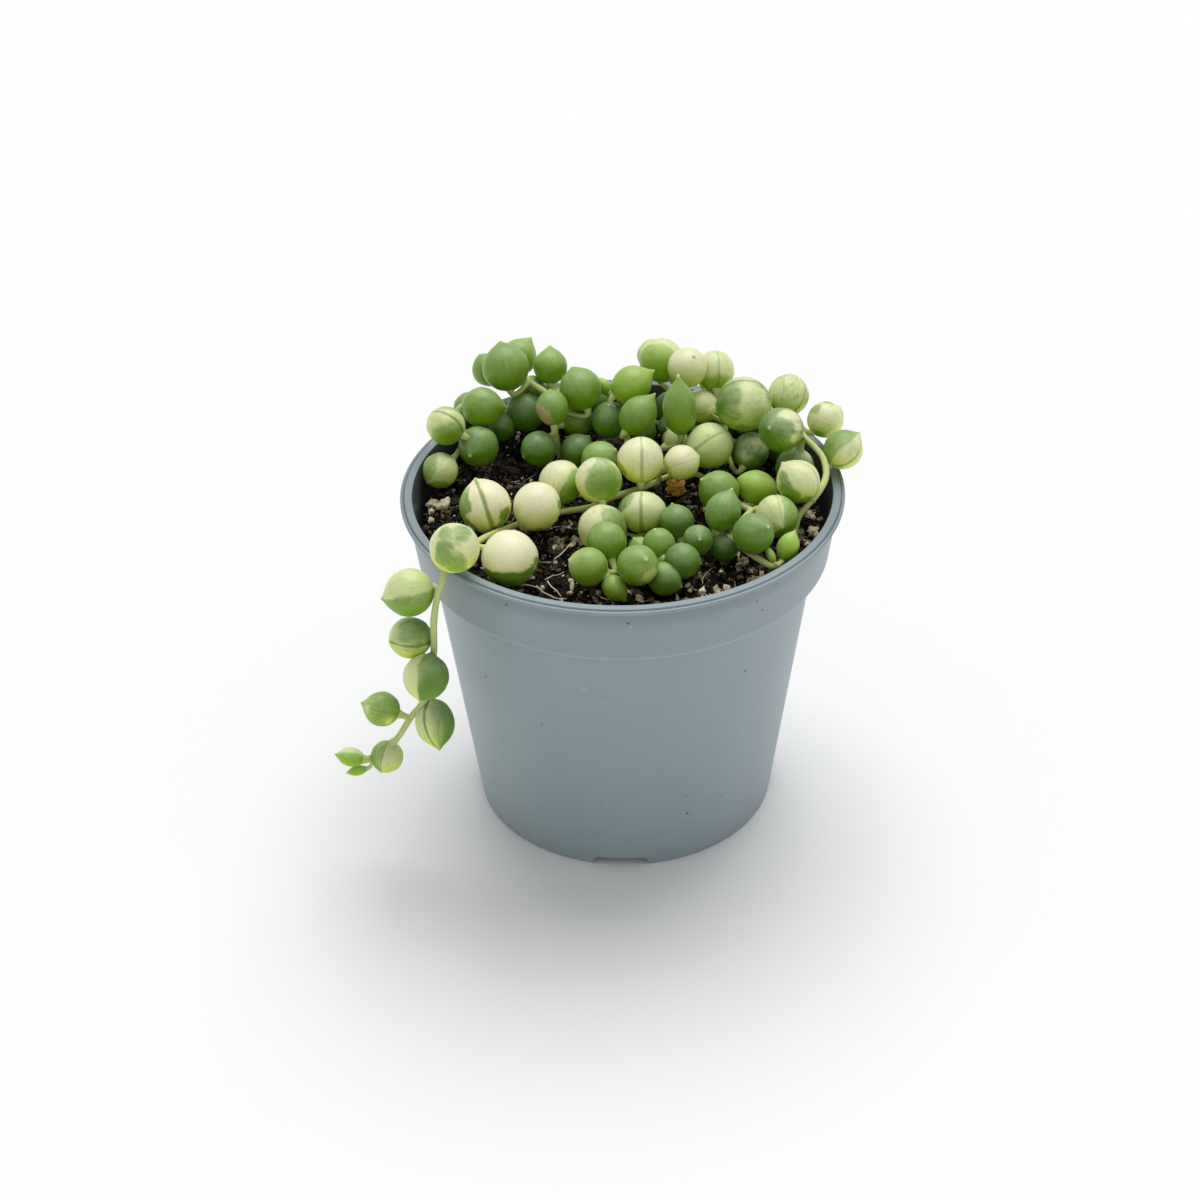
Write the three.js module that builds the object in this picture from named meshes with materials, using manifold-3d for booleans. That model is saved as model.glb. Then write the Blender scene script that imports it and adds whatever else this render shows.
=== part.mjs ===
// A small nursery pot of variegated string of pearls, in millimetres, +Z up.
// Places are measured from the pot's axis at the table; -Y is the front, and one stem hangs down at -X.
import * as THREE from "three";
import { mergeVertices } from "three/addons/utils/BufferGeometryUtils.js";
import Module from "manifold-3d";

// Pot: radii and heights
const POT_HEIGHT = 49;
const LIP_RADIUS = 30;
const LIP_INNER_RADIUS = 28.4;
const LIP_BEAD_HEIGHT = 0.6;
const COLLAR_TOP_RADIUS = 29.2;
const COLLAR_FOOT_RADIUS = 28.1;
const STEP_HEIGHT = 40.2;
const WALL_TOP_RADIUS = 26.3;
const BASE_RADIUS = 21;
const WALL = 0.9;
const FOOT_WIDTH = 2.4;
const FOOT_HEIGHT = 1.6;
const FLOOR = 1;
const POT_SIDES = 44;
const POT_COLOR = 0x7f8b91;
const POT_ROUGHNESS = 0.45;

// Drainage notches in the foot ring, and the drain holes in the floor
const NOTCH_COUNT = 4;
const NOTCH_TOP_WIDTH = 7;
const NOTCH_FOOT_WIDTH = 9;
const NOTCH_HEIGHT = 1.4;
const NOTCH_CORNER = 0.5;
const FIRST_NOTCH_DEGREES = -93;
const DRAIN_HOLE_RADIUS = 2.4;
const DRAIN_HOLE_SIDES = 16;
const DRAIN_RING_RADIUS = 14.5;
const CUT_MARGIN = 1;

// Soil: its heaps are waves across it, each an x rate, a y rate and a phase in radians
const GAP = 0.3;
const SOIL_HEIGHT = 44.1;
const SOIL_RELIEF = 0.35;
const SOIL_WAVES = [[0.55, 0.3, 0], [-0.35, 0.8, 1.3], [1.1, -0.9, 2.1]];
const SOIL_RINGS = 7;
const SOIL_SIDES = 32;
const HOLE_SIDES = 6;
const SOIL_COLOR = 0x2e241d;
const SOIL_ROUGHNESS = 0.95;

// Stems, leaf stalks and leaves
const STEM_RADIUS = 0.55;
const STEM_SIDES = 5;
const STEM_STEP = 2.8;
const STALK_RADIUS = 0.42;
const STALK_SIDES = 4;
const STALK_SINK = 0.7;
const LEAF_SIDES = 8;
const LEAF_RINGS = 5;
const LEAF_TIP = 0.22;
const LEAF_TIP_SHARPNESS = 6;
const LEAF_ROUGHNESS = 0.5;
const LARGEST_SCRAP = 0.5;

// Each vine has its stems, as hand-picked points, and its leaves. A leaf is [x, y, z, width], with the
// azimuth and elevation of its tip in degrees where the tip doesn't simply point away from the stem,
// and last its length over its width where it is longer than a pearl.
const VINES = [
  {
    name: "trailing_vine",
    color: 0xb4bf7c,
    stems: [
      [
        [12, 7.5, 41], [12, 7.5, 44], [10.7, 6.5, 46.6], [8, 5.2, 47.6], [6, 3.8, 48], [3, 1, 48.2],
        [-1.3, -0.5, 47.6], [-4.2, -2.2, 47.2], [-8, -2.9, 47], [-11.2, -4, 46.9], [-14.2, -6.3, 47.2],
        [-16.4, -9, 48], [-18.4, -13, 49.4], [-20.2, -16.4, 50.1], [-21.9, -19, 50.2],
        [-22.9, -20.7, 50.1], [-23.4, -21.8, 48.8], [-24.1, -22, 46.6], [-24.8, -22, 42.6],
        [-25.1, -21.8, 37.4], [-25.9, -21, 33], [-27, -21, 29], [-28.7, -20.5, 26.3],
        [-31.1, -20, 22], [-33.6, -20, 19.6], [-35.4, -20, 18.8],
      ],
    ],
    leaves: [
      [8.1, 2.6, 51, 4.8, 10, 15], [2.5, 1, 52.5, 6.2, 90, 48], [-3.2, -3.2, 52, 6.2, 100, 35],
      [-8.3, 0.2, 49.7, 6, 60, 30], [-11.4, -6.6, 50.2, 6.4, 20, 60], [-18.3, -6.3, 50.2, 6.9, 120, 50],
      [-14.8, -17.9, 49.5, 7.3], [-21.6, -21.6, 53.6, 6.4, -141, 44], [-27.8, -20.5, 46.2, 6.3, -175, -10],
      [-28.1, -20.5, 39.1, 5.5, -150, 10], [-26.1, -24.3, 35.5, 6, -105, -30],
      [-25.6, -21.5, 26, 5.3, -75, -55, 1.15], [-32.6, -20, 27.2, 4.7, 170, 15],
      [-32.5, -20, 19.2, 4.4, -110, -25], [-37.3, -20, 19.2, 2.6, 175, 10, 1.35],
      [-36.6, -20, 16.9, 1.4, -175, -10, 1.8],
    ],
  },
  {
    name: "front_vine",
    color: 0x4f7f38,
    stems: [
      [
        [9, -9.5, 41], [9, -9.5, 44], [8, -10.8, 45.8], [6.3, -12.6, 46.2], [5.2, -15, 46.1],
        [4.4, -17.1, 46.1], [2.2, -17.5, 46.1], [-0.8, -18, 47.2], [-2.6, -19.8, 47.8],
      ],
      [[5.2, -15, 46.1], [2.4, -14.6, 45.6], [0, -12.2, 45.8], [0, -8.6, 45.7], [0.4, -5, 45.6]],
    ],
    leaves: [
      [-4.7, -19.5, 49, 5], [-1.4, -21.2, 46.8, 3.1, -40, -35, 1.15], [1.6, -20.9, 50, 5.3, -60, 45],
      [5, -19.6, 47, 4.4, -30, -10], [7.4, -17.7, 48.4, 4.7, -15, 0], [-2.3, -14.9, 49.8, 5.2],
      [-2.8, -9.2, 48.2, 6.4, 100, 40], [2.5, -5.6, 48.4, 6.5, 90, 56, 0.85], [2.2, -12.4, 46.8, 3.4, 150, 55],
      [4.5, -14.8, 49.1, 4.3], [7.1, -8.4, 48.5, 4.5], [9.6, -14, 49.2, 4, -85, 35],
    ],
  },
  {
    name: "front_right_vine",
    color: 0x5f9140,
    stems: [
      [
        [11, -5.5, 41], [11, -5.5, 44], [11.1, -7.4, 46.2], [11.3, -10.8, 47.6], [14, -13, 48.9],
        [16, -15, 48], [17.4, -17, 48], [19.2, -18.4, 47.8], [20.4, -17.3, 47.8],
      ],
      [
        [14, -13, 48.9], [15, -10.4, 49.1], [16.3, -8, 49], [17, -5.4, 48.2], [16.4, -2.8, 47],
        [15.6, -0.6, 46.4],
      ],
    ],
    leaves: [
      [13.1, -12.6, 47.2, 4], [13, -1.5, 48.9, 5.5], [18.3, 0.3, 48.1, 4.8, 170, 25, 1.15],
      [13, -10.9, 51.5, 4.7, 50, 55, 1.1], [16.7, -15.5, 51, 5.4, -40, 40], [20.2, -9.1, 49.5, 5.7, -80, 5],
      [21.2, -15.7, 49, 2.9, 45, 55, 1.25], [18.9, -17.6, 48.9, 1.1, 120, 40, 2],
    ],
  },
  {
    name: "right_loop_vine",
    color: 0x9cae66,
    stems: [
      [
        [22.6, -8.6, 41], [22.6, -8.6, 44], [23.3, -6.8, 47.6], [26, -4.4, 50], [27.3, -1.6, 51],
        [27.2, 1.2, 52], [26.2, 3.5, 52.5], [24.9, 6, 52.8], [24.6, 10, 52.4], [24.2, 12.6, 51.9],
      ],
    ],
    leaves: [
      [23.4, 14.4, 54.5, 5.7, 60, 45], [28.2, 10, 53, 5, 30, 30], [30, 3.2, 52.2, 5.3, 30, 35],
      [21.7, 4.7, 54.6, 6.1, -130, 30], [23.4, -3.7, 51.5, 5.8, 145, 40], [23.8, 5.7, 48, 5.4],
    ],
  },
  {
    name: "back_right_vine",
    color: 0xb9bf8c,
    stems: [
      [
        [15, 12.5, 41], [15, 12.5, 44], [14.8, 13.4, 47.6], [14.5, 15.4, 50.2], [14.5, 18.6, 51.2],
        [12.5, 22, 50.9], [9, 22, 50.6], [6.8, 23.8, 50.8], [5.6, 25.6, 51.2],
      ],
    ],
    leaves: [
      [13.6, 21, 54.9, 5.3, 90, 35, 1.1], [11.7, 17.7, 51, 4.6], [9.6, 19.6, 56.3, 5.6, -55, 55],
      [6, 23.3, 55.5, 6.3, 120, 30], [5, 27.5, 54, 4.7, 100, 30], [17, 11, 55.1, 7.6, 0, 10],
      [12.2, 8, 50.4, 6.4, 20, 25], [17.9, 9.1, 48.7, 5.2, 60, 30], [18.5, 17, 49.4, 5.4],
      [13.8, 24.4, 51.9, 5],
    ],
  },
  {
    name: "centre_vine",
    color: 0x4a7a31,
    stems: [
      [[1.5, 10, 41], [1.5, 10, 44], [1.1, 11, 47.5], [0.8, 12.5, 50.4], [0.8, 14, 52.2]],
      [[1.1, 11, 47.5], [4, 12.4, 47.2], [6.6, 12, 47.6]],
    ],
    leaves: [
      [1.6, 15.4, 56, 5.2, 20, 25, 1.1], [2.4, 10.4, 54, 4.9, 35, 40, 1.15],
      [8.2, 10.8, 54.5, 4.8, 100, 75, 1.45], [-1.5, 14.3, 51.1, 5.1, -90, 80], [7.6, 13.8, 48, 3.6],
      [2.8, 17, 47.6, 4.6],
    ],
  },
  {
    name: "back_left_vine",
    color: 0x568a3c,
    stems: [
      [
        [-8.4, 13.9, 41], [-8.4, 13.9, 44], [-8.8, 14.6, 47], [-9.3, 16, 50.4], [-9.5, 17.6, 52.8],
        [-12.3, 20, 54], [-14.6, 23.6, 53.4],
      ],
      [[-9.5, 17.6, 52.8], [-8, 19.4, 53.2], [-5.2, 20.2, 53], [-2.6, 20.2, 52.8]],
    ],
    leaves: [
      [-15.9, 19.8, 56.7, 6.5, 110, 55], [-14.3, 27.1, 54.3, 5.2, 40, 45], [-18.5, 24.2, 54, 4.7, 150, 55],
      [-9.7, 22, 55.5, 4.8, 90, 55], [-5.5, 16.3, 55, 5.9, 120, 50], [-2.2, 18.9, 54, 1.8, 145, 40, 1.4],
      [-13.3, 19, 50, 5.6, -155, 15], [-5.9, 16.5, 49.7, 4.4], [-9.4, 23, 49.6, 5.2], [-4, 23.6, 48.6, 5],
      [-12.2, 21.8, 52.4, 3.4], [-16.8, 17.4, 48.7, 4.3],
    ],
  },
  {
    name: "left_vine",
    color: 0x5c8f40,
    stems: [
      [
        [-18.5, 14.6, 41], [-18.5, 14.6, 44], [-19.6, 14.3, 47], [-21.4, 13.4, 49.4], [-22.3, 14, 51.4],
        [-22.4, 15.2, 53],
      ],
    ],
    leaves: [
      [-19.2, 14.2, 53.6, 5.6, 0, 0], [-24, 9.5, 53.5, 5.3, 160, 25], [-19.7, 9.8, 49.9, 5.6, -110, 5],
      [-24.9, 6.2, 48.3, 4.9, -130, -15], [-21.2, 18, 51.4, 4.4],
    ],
  },
  {
    name: "inner_left_vine",
    color: 0x3f6d2c,
    stems: [
      [[-11.4, 13.4, 41], [-11.4, 13.4, 44], [-11.3, 13.2, 47], [-10.9, 12.9, 50]],
      [[-11.3, 13.2, 47], [-9, 10.4, 45.6], [-7.2, 8.2, 45.4], [-5.6, 7.2, 46]],
    ],
    leaves: [
      [-9.4, 12.6, 54.2, 4.5, 100, 55, 1.1], [-11.4, 10.4, 49, 4.9, -140, -5], [-6.1, 11.4, 48, 4.6],
      [-2.9, 6.8, 49, 5.4],
    ],
  },
  {
    name: "rear_vine",
    color: 0x4f8037,
    stems: [
      [
        [1.5, 21.8, 41], [1.5, 21.8, 44], [3, 22.4, 45.8], [7, 21.6, 46], [11.5, 19.5, 46],
        [17, 15.8, 46],
      ],
    ],
    leaves: [
      [2, 24.6, 48.4, 4.8], [7.2, 24, 47.4, 4.6], [7.6, 18.6, 47.2, 4.4], [12, 21.8, 47.2, 4.2],
      [22.3, 12.2, 47.6, 4.6], [15.5, 20.2, 46.6, 3.8],
    ],
  },
];

const wasm = await Module();
wasm.setup();

// A closed three.js geometry as a solid that can be joined and cut.
function solid(geometry) {
  const bare = geometry.index ? geometry.toNonIndexed() : geometry.clone();
  bare.deleteAttribute("normal");
  bare.deleteAttribute("uv");
  const merged = mergeVertices(bare, 1e-4);
  return new wasm.Manifold(
    new wasm.Mesh({
      numProp: 3,
      vertProperties: merged.attributes.position.array,
      triVerts: new Uint32Array(merged.index.array),
    }),
  );
}

// A solid as a named three.js mesh.
function mesh(name, body, color, roughness) {
  const { vertProperties, triVerts } = body.getMesh();
  const geometry = new THREE.BufferGeometry();
  geometry.setAttribute("position", new THREE.BufferAttribute(new Float32Array(vertProperties), 3));
  geometry.setIndex(new THREE.BufferAttribute(new Uint32Array(triVerts), 1));
  geometry.computeVertexNormals();
  const made = new THREE.Mesh(geometry, new THREE.MeshStandardMaterial({ color, roughness, metalness: 0 }));
  made.name = name;
  return made;
}

// A profile of [radius, height] pairs spun round +Z.
function spin(profile, sides) {
  const points = profile.map(([radius, height]) => new THREE.Vector2(radius, height));
  return new THREE.LatheGeometry(points, sides).rotateX(Math.PI / 2);
}

function cylinder(radius, low, high, sides) {
  return spin([[0, low], [radius, low], [radius, high], [0, high]], sides);
}

// A smooth curve through a list of [x, y, z] points.
function smooth(route) {
  return new THREE.CatmullRomCurve3(route.map((point) => new THREE.Vector3(...point)));
}

// A round tube through a list of [x, y, z] points.
function tube(route, radius, sides, step) {
  const curve = smooth(route);
  const corners = [];
  for (let side = 0; side < sides; side++) {
    const angle = (2 * Math.PI * side) / sides;
    corners.push(new THREE.Vector2(radius * Math.cos(angle), radius * Math.sin(angle)));
  }
  const section = new THREE.Shape(corners);
  const steps = Math.round(curve.getLength() / step);
  return new THREE.ExtrudeGeometry(section, { steps, bevelEnabled: false, extrudePath: curve });
}

// The wall's outer radius at a height below the step.
function wallRadius(height) {
  return THREE.MathUtils.lerp(BASE_RADIUS, WALL_TOP_RADIUS, height / STEP_HEIGHT);
}

function pot() {
  const beadFoot = POT_HEIGHT - LIP_BEAD_HEIGHT;
  const beadEdge = LIP_BEAD_HEIGHT / 4;
  const floorTop = FOOT_HEIGHT + FLOOR;
  let body = solid(
    spin(
      [
        [0, FOOT_HEIGHT],
        [BASE_RADIUS - FOOT_WIDTH, FOOT_HEIGHT],
        [BASE_RADIUS - FOOT_WIDTH, 0],
        [BASE_RADIUS - beadEdge, 0],
        [wallRadius(beadEdge), beadEdge],
        [WALL_TOP_RADIUS, STEP_HEIGHT],
        [COLLAR_FOOT_RADIUS - beadEdge, STEP_HEIGHT],
        [COLLAR_FOOT_RADIUS, STEP_HEIGHT + beadEdge],
        [COLLAR_TOP_RADIUS, beadFoot - beadEdge],
        [LIP_RADIUS, beadFoot],
        [LIP_RADIUS, POT_HEIGHT - beadEdge],
        [LIP_RADIUS - beadEdge, POT_HEIGHT],
        [LIP_INNER_RADIUS + beadEdge, POT_HEIGHT],
        [LIP_INNER_RADIUS, POT_HEIGHT - beadEdge],
        [COLLAR_FOOT_RADIUS - WALL, STEP_HEIGHT + WALL],
        [WALL_TOP_RADIUS - WALL, STEP_HEIGHT + WALL],
        [wallRadius(floorTop) - WALL, floorTop],
        [0, floorTop],
      ],
      POT_SIDES,
    ),
  );
  for (let notch = 0; notch < NOTCH_COUNT; notch++) {
    const turn = THREE.MathUtils.degToRad(FIRST_NOTCH_DEGREES + (360 / NOTCH_COUNT) * notch);
    body = body.subtract(solid(notchCutter().rotateZ(turn)));
    const hole = cylinder(DRAIN_HOLE_RADIUS, 0, floorTop + CUT_MARGIN, DRAIN_HOLE_SIDES);
    body = body.subtract(solid(hole.translate(DRAIN_RING_RADIUS, 0, 0).rotateZ(turn)));
  }
  return mesh("pot", body, POT_COLOR, POT_ROUGHNESS);
}

// The drainage notch, as a bar along +X that is wider at the foot and has cut upper corners.
function notchCutter() {
  const outline = new THREE.Shape();
  outline.moveTo(-NOTCH_FOOT_WIDTH / 2, -CUT_MARGIN);
  outline.lineTo(-NOTCH_FOOT_WIDTH / 2, 0);
  outline.lineTo(-NOTCH_TOP_WIDTH / 2, NOTCH_HEIGHT - NOTCH_CORNER);
  outline.lineTo(-NOTCH_TOP_WIDTH / 2 + NOTCH_CORNER, NOTCH_HEIGHT);
  outline.lineTo(NOTCH_TOP_WIDTH / 2 - NOTCH_CORNER, NOTCH_HEIGHT);
  outline.lineTo(NOTCH_TOP_WIDTH / 2, NOTCH_HEIGHT - NOTCH_CORNER);
  outline.lineTo(NOTCH_FOOT_WIDTH / 2, 0);
  outline.lineTo(NOTCH_FOOT_WIDTH / 2, -CUT_MARGIN);
  const bar = new THREE.ExtrudeGeometry(outline, { depth: FOOT_WIDTH + 2 * CUT_MARGIN, bevelEnabled: false });
  const start = BASE_RADIUS - FOOT_WIDTH - CUT_MARGIN;
  return bar.rotateX(Math.PI / 2).rotateZ(Math.PI / 2).translate(start, 0, 0);
}

// The collar's inner radius at a height between the step and the lip.
function collarInnerRadius(height) {
  const foot = STEP_HEIGHT + WALL;
  const rise = (height - foot) / (POT_HEIGHT - foot);
  return THREE.MathUtils.lerp(COLLAR_FOOT_RADIUS - WALL, LIP_INNER_RADIUS, rise);
}

// The soil's surface: low heaps and hollows of a loose peat mix.
function soilHeight(x, y) {
  let heaps = 0;
  for (const [alongX, alongY, phase] of SOIL_WAVES) heaps += Math.sin(alongX * x + alongY * y + phase);
  return SOIL_HEIGHT + (SOIL_RELIEF * heaps) / SOIL_WAVES.length;
}

function soil() {
  const floor = FOOT_HEIGHT + FLOOR + GAP;
  const step = STEP_HEIGHT + WALL + GAP;
  const edge = collarInnerRadius(SOIL_HEIGHT) - GAP;
  const profile = [
    [0, floor],
    [wallRadius(floor) - WALL - GAP, floor],
    [WALL_TOP_RADIUS - WALL - GAP, step],
    [COLLAR_FOOT_RADIUS - WALL - GAP, step],
  ];
  for (let ring = 0; ring <= SOIL_RINGS; ring++) {
    profile.push([edge * (1 - ring / SOIL_RINGS), SOIL_HEIGHT]);
  }
  const geometry = spin(profile, SOIL_SIDES);
  const place = geometry.attributes.position;
  for (let index = 0; index < place.count; index++) {
    if (place.getZ(index) <= step) continue;
    place.setZ(index, soilHeight(place.getX(index), place.getY(index)));
  }
  let body = solid(geometry);
  for (const { stems } of VINES) body = body.subtract(stemHole(stems[0]));
  return mesh("soil", body, SOIL_COLOR, SOIL_ROUGHNESS);
}

// The hole that a stem stands in, clear of it all round and below its end.
function stemHole([[x, y, z], surface, above]) {
  const radius = (STEM_RADIUS + GAP) / Math.cos(Math.PI / HOLE_SIDES);
  return solid(tube([[x, y, z - GAP], surface, above], radius, HOLE_SIDES, STEM_STEP));
}

// The point of a vine's stems that is nearest to a place, short of each stem's two ends.
function nearest(curves, place) {
  let best = null;
  for (const curve of curves) {
    for (const point of curve.getSpacedPoints(Math.ceil(curve.getLength())).slice(1, -1)) {
      const buried = point.z < SOIL_HEIGHT && Math.hypot(point.x, point.y) < LIP_RADIUS;
      if (buried) continue;
      if (!best || point.distanceTo(place) < best.distanceTo(place)) best = point;
    }
  }
  return best;
}

// One leaf: a pearl spun about its own axis, with a pointed tip, on a stalk that runs to the stem.
function leaf(curves, [x, y, z, width, azimuth, elevation, stretch = 1]) {
  const centre = new THREE.Vector3(x, y, z);
  const radius = width / 2;
  const axis = new THREE.Vector3();
  if (azimuth === undefined) {
    axis.subVectors(centre, nearest(curves, centre)).normalize();
  } else {
    const [turn, rise] = [azimuth, elevation].map(THREE.MathUtils.degToRad);
    axis.set(Math.cos(rise) * Math.cos(turn), Math.cos(rise) * Math.sin(turn), Math.sin(rise));
  }
  const profile = [];
  for (let ring = 0; ring <= LEAF_RINGS + 1; ring++) {
    const angle = (Math.PI * ring) / (LEAF_RINGS + 1);
    const point = LEAF_TIP * Math.pow((1 - Math.cos(angle)) / 2, LEAF_TIP_SHARPNESS);
    const height = radius * stretch * (point - Math.cos(angle));
    profile.push([ring > LEAF_RINGS ? 0 : radius * Math.sin(angle), height]);
  }
  const turn = new THREE.Quaternion().setFromUnitVectors(new THREE.Vector3(0, 0, 1), axis);
  const pearl = spin(profile, LEAF_SIDES).applyQuaternion(turn).translate(x, y, z);
  const inside = centre.clone().addScaledVector(axis, -STALK_SINK * radius * stretch);
  const joint = nearest(curves, inside);
  const length = inside.distanceTo(joint);
  const stalk = tube([inside.toArray(), joint.toArray()], STALK_RADIUS, STALK_SIDES, length);
  return solid(pearl).add(solid(stalk));
}

// A vine's pieces fused in one shell, without the scraps and sealed hollows that fusing leaves.
function grown(name, parts) {
  const shells = wasm.Manifold.union(parts).decompose();
  const [body, ...rest] = shells.sort((one, other) => other.volume() - one.volume());
  if (rest.some((shell) => shell.volume() > LARGEST_SCRAP)) throw new Error(`${name} has a loose leaf`);
  return body;
}

function vine({ name, color, stems, leaves }) {
  const curves = stems.map(smooth);
  const parts = stems.map((route) => solid(tube(route, STEM_RADIUS, STEM_SIDES, STEM_STEP)));
  for (const entry of leaves) parts.push(leaf(curves, entry));
  return mesh(name, grown(name, parts), color, LEAF_ROUGHNESS);
}

const plant = new THREE.Group();
plant.name = "potted_string_of_pearls";
plant.add(pot(), soil(), ...VINES.map(vine));

// The origin is the middle of the whole plant's box at the table, so the pot stands a little off it.
const box = new THREE.Box3().setFromObject(plant);
plant.position.x = -(box.min.x + box.max.x) / 2;
plant.position.y = -(box.min.y + box.max.y) / 2;

export default plant;
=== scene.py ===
"""A small nursery pot of variegated string of pearls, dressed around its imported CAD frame.

Sizes are written in millimetres, and the settings keep them in metres, as Blender does. Places are
measured from the pot's axis at the table, as in the part's own source. Directions of a leaf's
colours are given as the photograph shows them: (right, up, nearer).
"""

import math
import random
from typing import NamedTuple

import bmesh
import bpy
from bpy.props import FloatProperty, FloatVectorProperty, IntProperty, PointerProperty
from mathutils import Matrix, Vector, noise
from mathutils.geometry import interpolate_bezier


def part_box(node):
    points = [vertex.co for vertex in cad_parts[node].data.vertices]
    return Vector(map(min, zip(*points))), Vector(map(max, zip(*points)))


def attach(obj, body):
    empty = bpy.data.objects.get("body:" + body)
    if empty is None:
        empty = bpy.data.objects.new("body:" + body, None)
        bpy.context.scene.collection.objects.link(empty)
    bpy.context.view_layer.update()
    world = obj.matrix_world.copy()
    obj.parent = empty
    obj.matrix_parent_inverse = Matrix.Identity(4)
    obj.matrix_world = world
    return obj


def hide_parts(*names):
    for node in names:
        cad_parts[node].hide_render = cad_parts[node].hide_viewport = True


bl_info = {
    "name": "Potted String of Pearls",
    "version": (1, 0, 0),
    "blender": (4, 5, 0),
    "location": "3D View > Sidebar > Pearls",
    "description": "Builds the pot, soil and leafy strings of a small potted succulent",
    "category": "Add Mesh",
}

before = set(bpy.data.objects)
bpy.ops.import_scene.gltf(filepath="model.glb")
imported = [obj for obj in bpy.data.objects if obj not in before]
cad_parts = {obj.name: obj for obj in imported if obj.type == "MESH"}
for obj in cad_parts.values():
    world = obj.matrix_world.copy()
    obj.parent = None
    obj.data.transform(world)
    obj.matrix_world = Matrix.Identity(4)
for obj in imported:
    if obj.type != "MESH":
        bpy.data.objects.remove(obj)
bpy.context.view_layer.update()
POT_LOW, POT_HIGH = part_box("pot")
AXIS = Vector(((POT_LOW.x + POT_HIGH.x) / 2, (POT_LOW.y + POT_HIGH.y) / 2, POT_LOW.z))

# A millimetre in the frame's metres
MM = 0.001

BODY = "root"

# The camera, from the photograph's perspective of the pot
CAMERA_ELEVATION = 34.26
CAMERA_DISTANCE = 334.7
CAMERA_AIM = (-3.3, 0, 30.5)
CAMERA_ROLL = -1.09
LENS = 72
SENSOR = 36

# Where the soft light overhead comes from
LAMP_SIDE = (0.08, 0.42, 1)

# What the photograph calls up and nearer, as directions of the model
PITCH = math.radians(CAMERA_ELEVATION)
VIEW_RIGHT = Vector((1, 0, 0))
VIEW_UP = Vector((0, math.sin(PITCH), math.cos(PITCH)))
VIEW_NEAR = Vector((0, -math.cos(PITCH), math.sin(PITCH)))

# Soil level, and how far out its loose crumbs lie
SOIL_LEVEL = 44.1
SOIL_CROWN = 0.9
SOIL_EDGE = 27.5
CRUMB_EDGE = 26.8

# How finely the round pieces are turned
POT_STEPS = 160
BED_STEPS = 180
BED_RINGS = 70
STEM_SIDES = 12
STALK_SIDES = 10
FIBRE_SIDES = 5

# The notches of the foot ring, with a drain hole for each, and the first one's angle in degrees
NOTCHES = 4
FIRST_NOTCH = -93

# The husk's flakes, and the share of a full turn from one to the next
HUSK_FLAKES = 11
HUSK_TURN = 0.382

FLOOR_RADIUS = 3000

# A string's first material is its leaves' and its second its stem's
STEM_MATERIAL = 1

# What the random draws start from
CRUMB_SEED = 11
FIBRE_SEED = 5


# Single lumps that the photograph shows: x, y, width and shade
BROWN_LUMPS = (
    (-17.6, 12.2, 1.5, 0.75), (-19, 11.2, 1.2, 0.9), (-16.2, 11.6, 1.3, 0.5), (-17.2, 13.6, 1.2, 0.4),
    (15.3, -13.8, 1, 0.7), (10.9, -13.4, 1.1, 0.35), (-9, -8.8, 1.1, 0.5),
)
PERLITE_LUMPS = (
    (-25.9, 3.2, 1, 0.3), (-24.6, 2.6, 0.9, 0.1), (9.7, -20.8, 0.62, 0), (8.1, -18.7, 0.35, 0.1),
    (11.7, -19.7, 0.38, 0), (13.1, -19.3, 0.62, 0.2), (12.5, -16.2, 0.28, 0), (8.3, -19.8, 0.3, 0),
    (25.4, -5.8, 0.85, 0.1), (25.2, -2.4, 0.5, 0.3), (24.4, -9.4, 0.4, 0.2), (-26, -1.6, 0.45, 0.4),
    (-9.2, -9.6, 0.35, 0.2), (-8.3, -8.2, 0.3, 0.3), (-9.8, -8.4, 0.3, 0.1), (-4.5, -13.5, 0.5, 0.5),
)
# The dry orange husk: x and y
HUSK = (7.4, 4)
# Dark specks on the collar's front: x, height and size
COLLAR_SPECKS = (
    (0.2, 46.6, 0.2), (16.8, 45.8, 0.13), (17.5, 43.9, 0.15), (18.2, 46.4, 0.1), (19.4, 47.2, 0.12),
)
# Loose white roots: x, y, heading in degrees, reach and bend in degrees for each mm
LOOSE_ROOTS = (
    (-10.4, -17.1, 35, 3.2, 0), (-10.1, -17.3, -60, 3.6, 0), (-9.3, -12.9, 56, 4.3, 1),
    (-13.6, -18.8, 15, 2.4, -14), (-11.5, -18.5, -48, 5, 6), (-26.2, 4.6, -97, 5.4, 3),
    (-3.2, -21.4, -20, 2.6, 12), (-12.5, -13.6, 10, 3, 0),
)


class Leaf(NamedTuple):
    """A leaf's centre and width, where its tip points in degrees, and its colours."""

    x: float
    y: float
    z: float
    width: float
    azimuth: float = None
    elevation: float = None
    stretch: float = 1
    tone: float = 0.3
    cream: float = 0
    side: tuple = (0, 0, 1)
    fade: float = 0.3
    ragged: float = 0.2
    streaks: float = 0.3
    stripe: tuple = (0, 1, 0.3)
    line: float = 0.15
    point: float = 0.12
    green: tuple = ()
    pale: tuple = ()
    scar: tuple = ()


class String(NamedTuple):
    """One plant stem with its branches and leaves, and the CAD node that it stands for."""

    name: str
    node: str
    slot: str
    stems: tuple
    leaves: tuple


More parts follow.
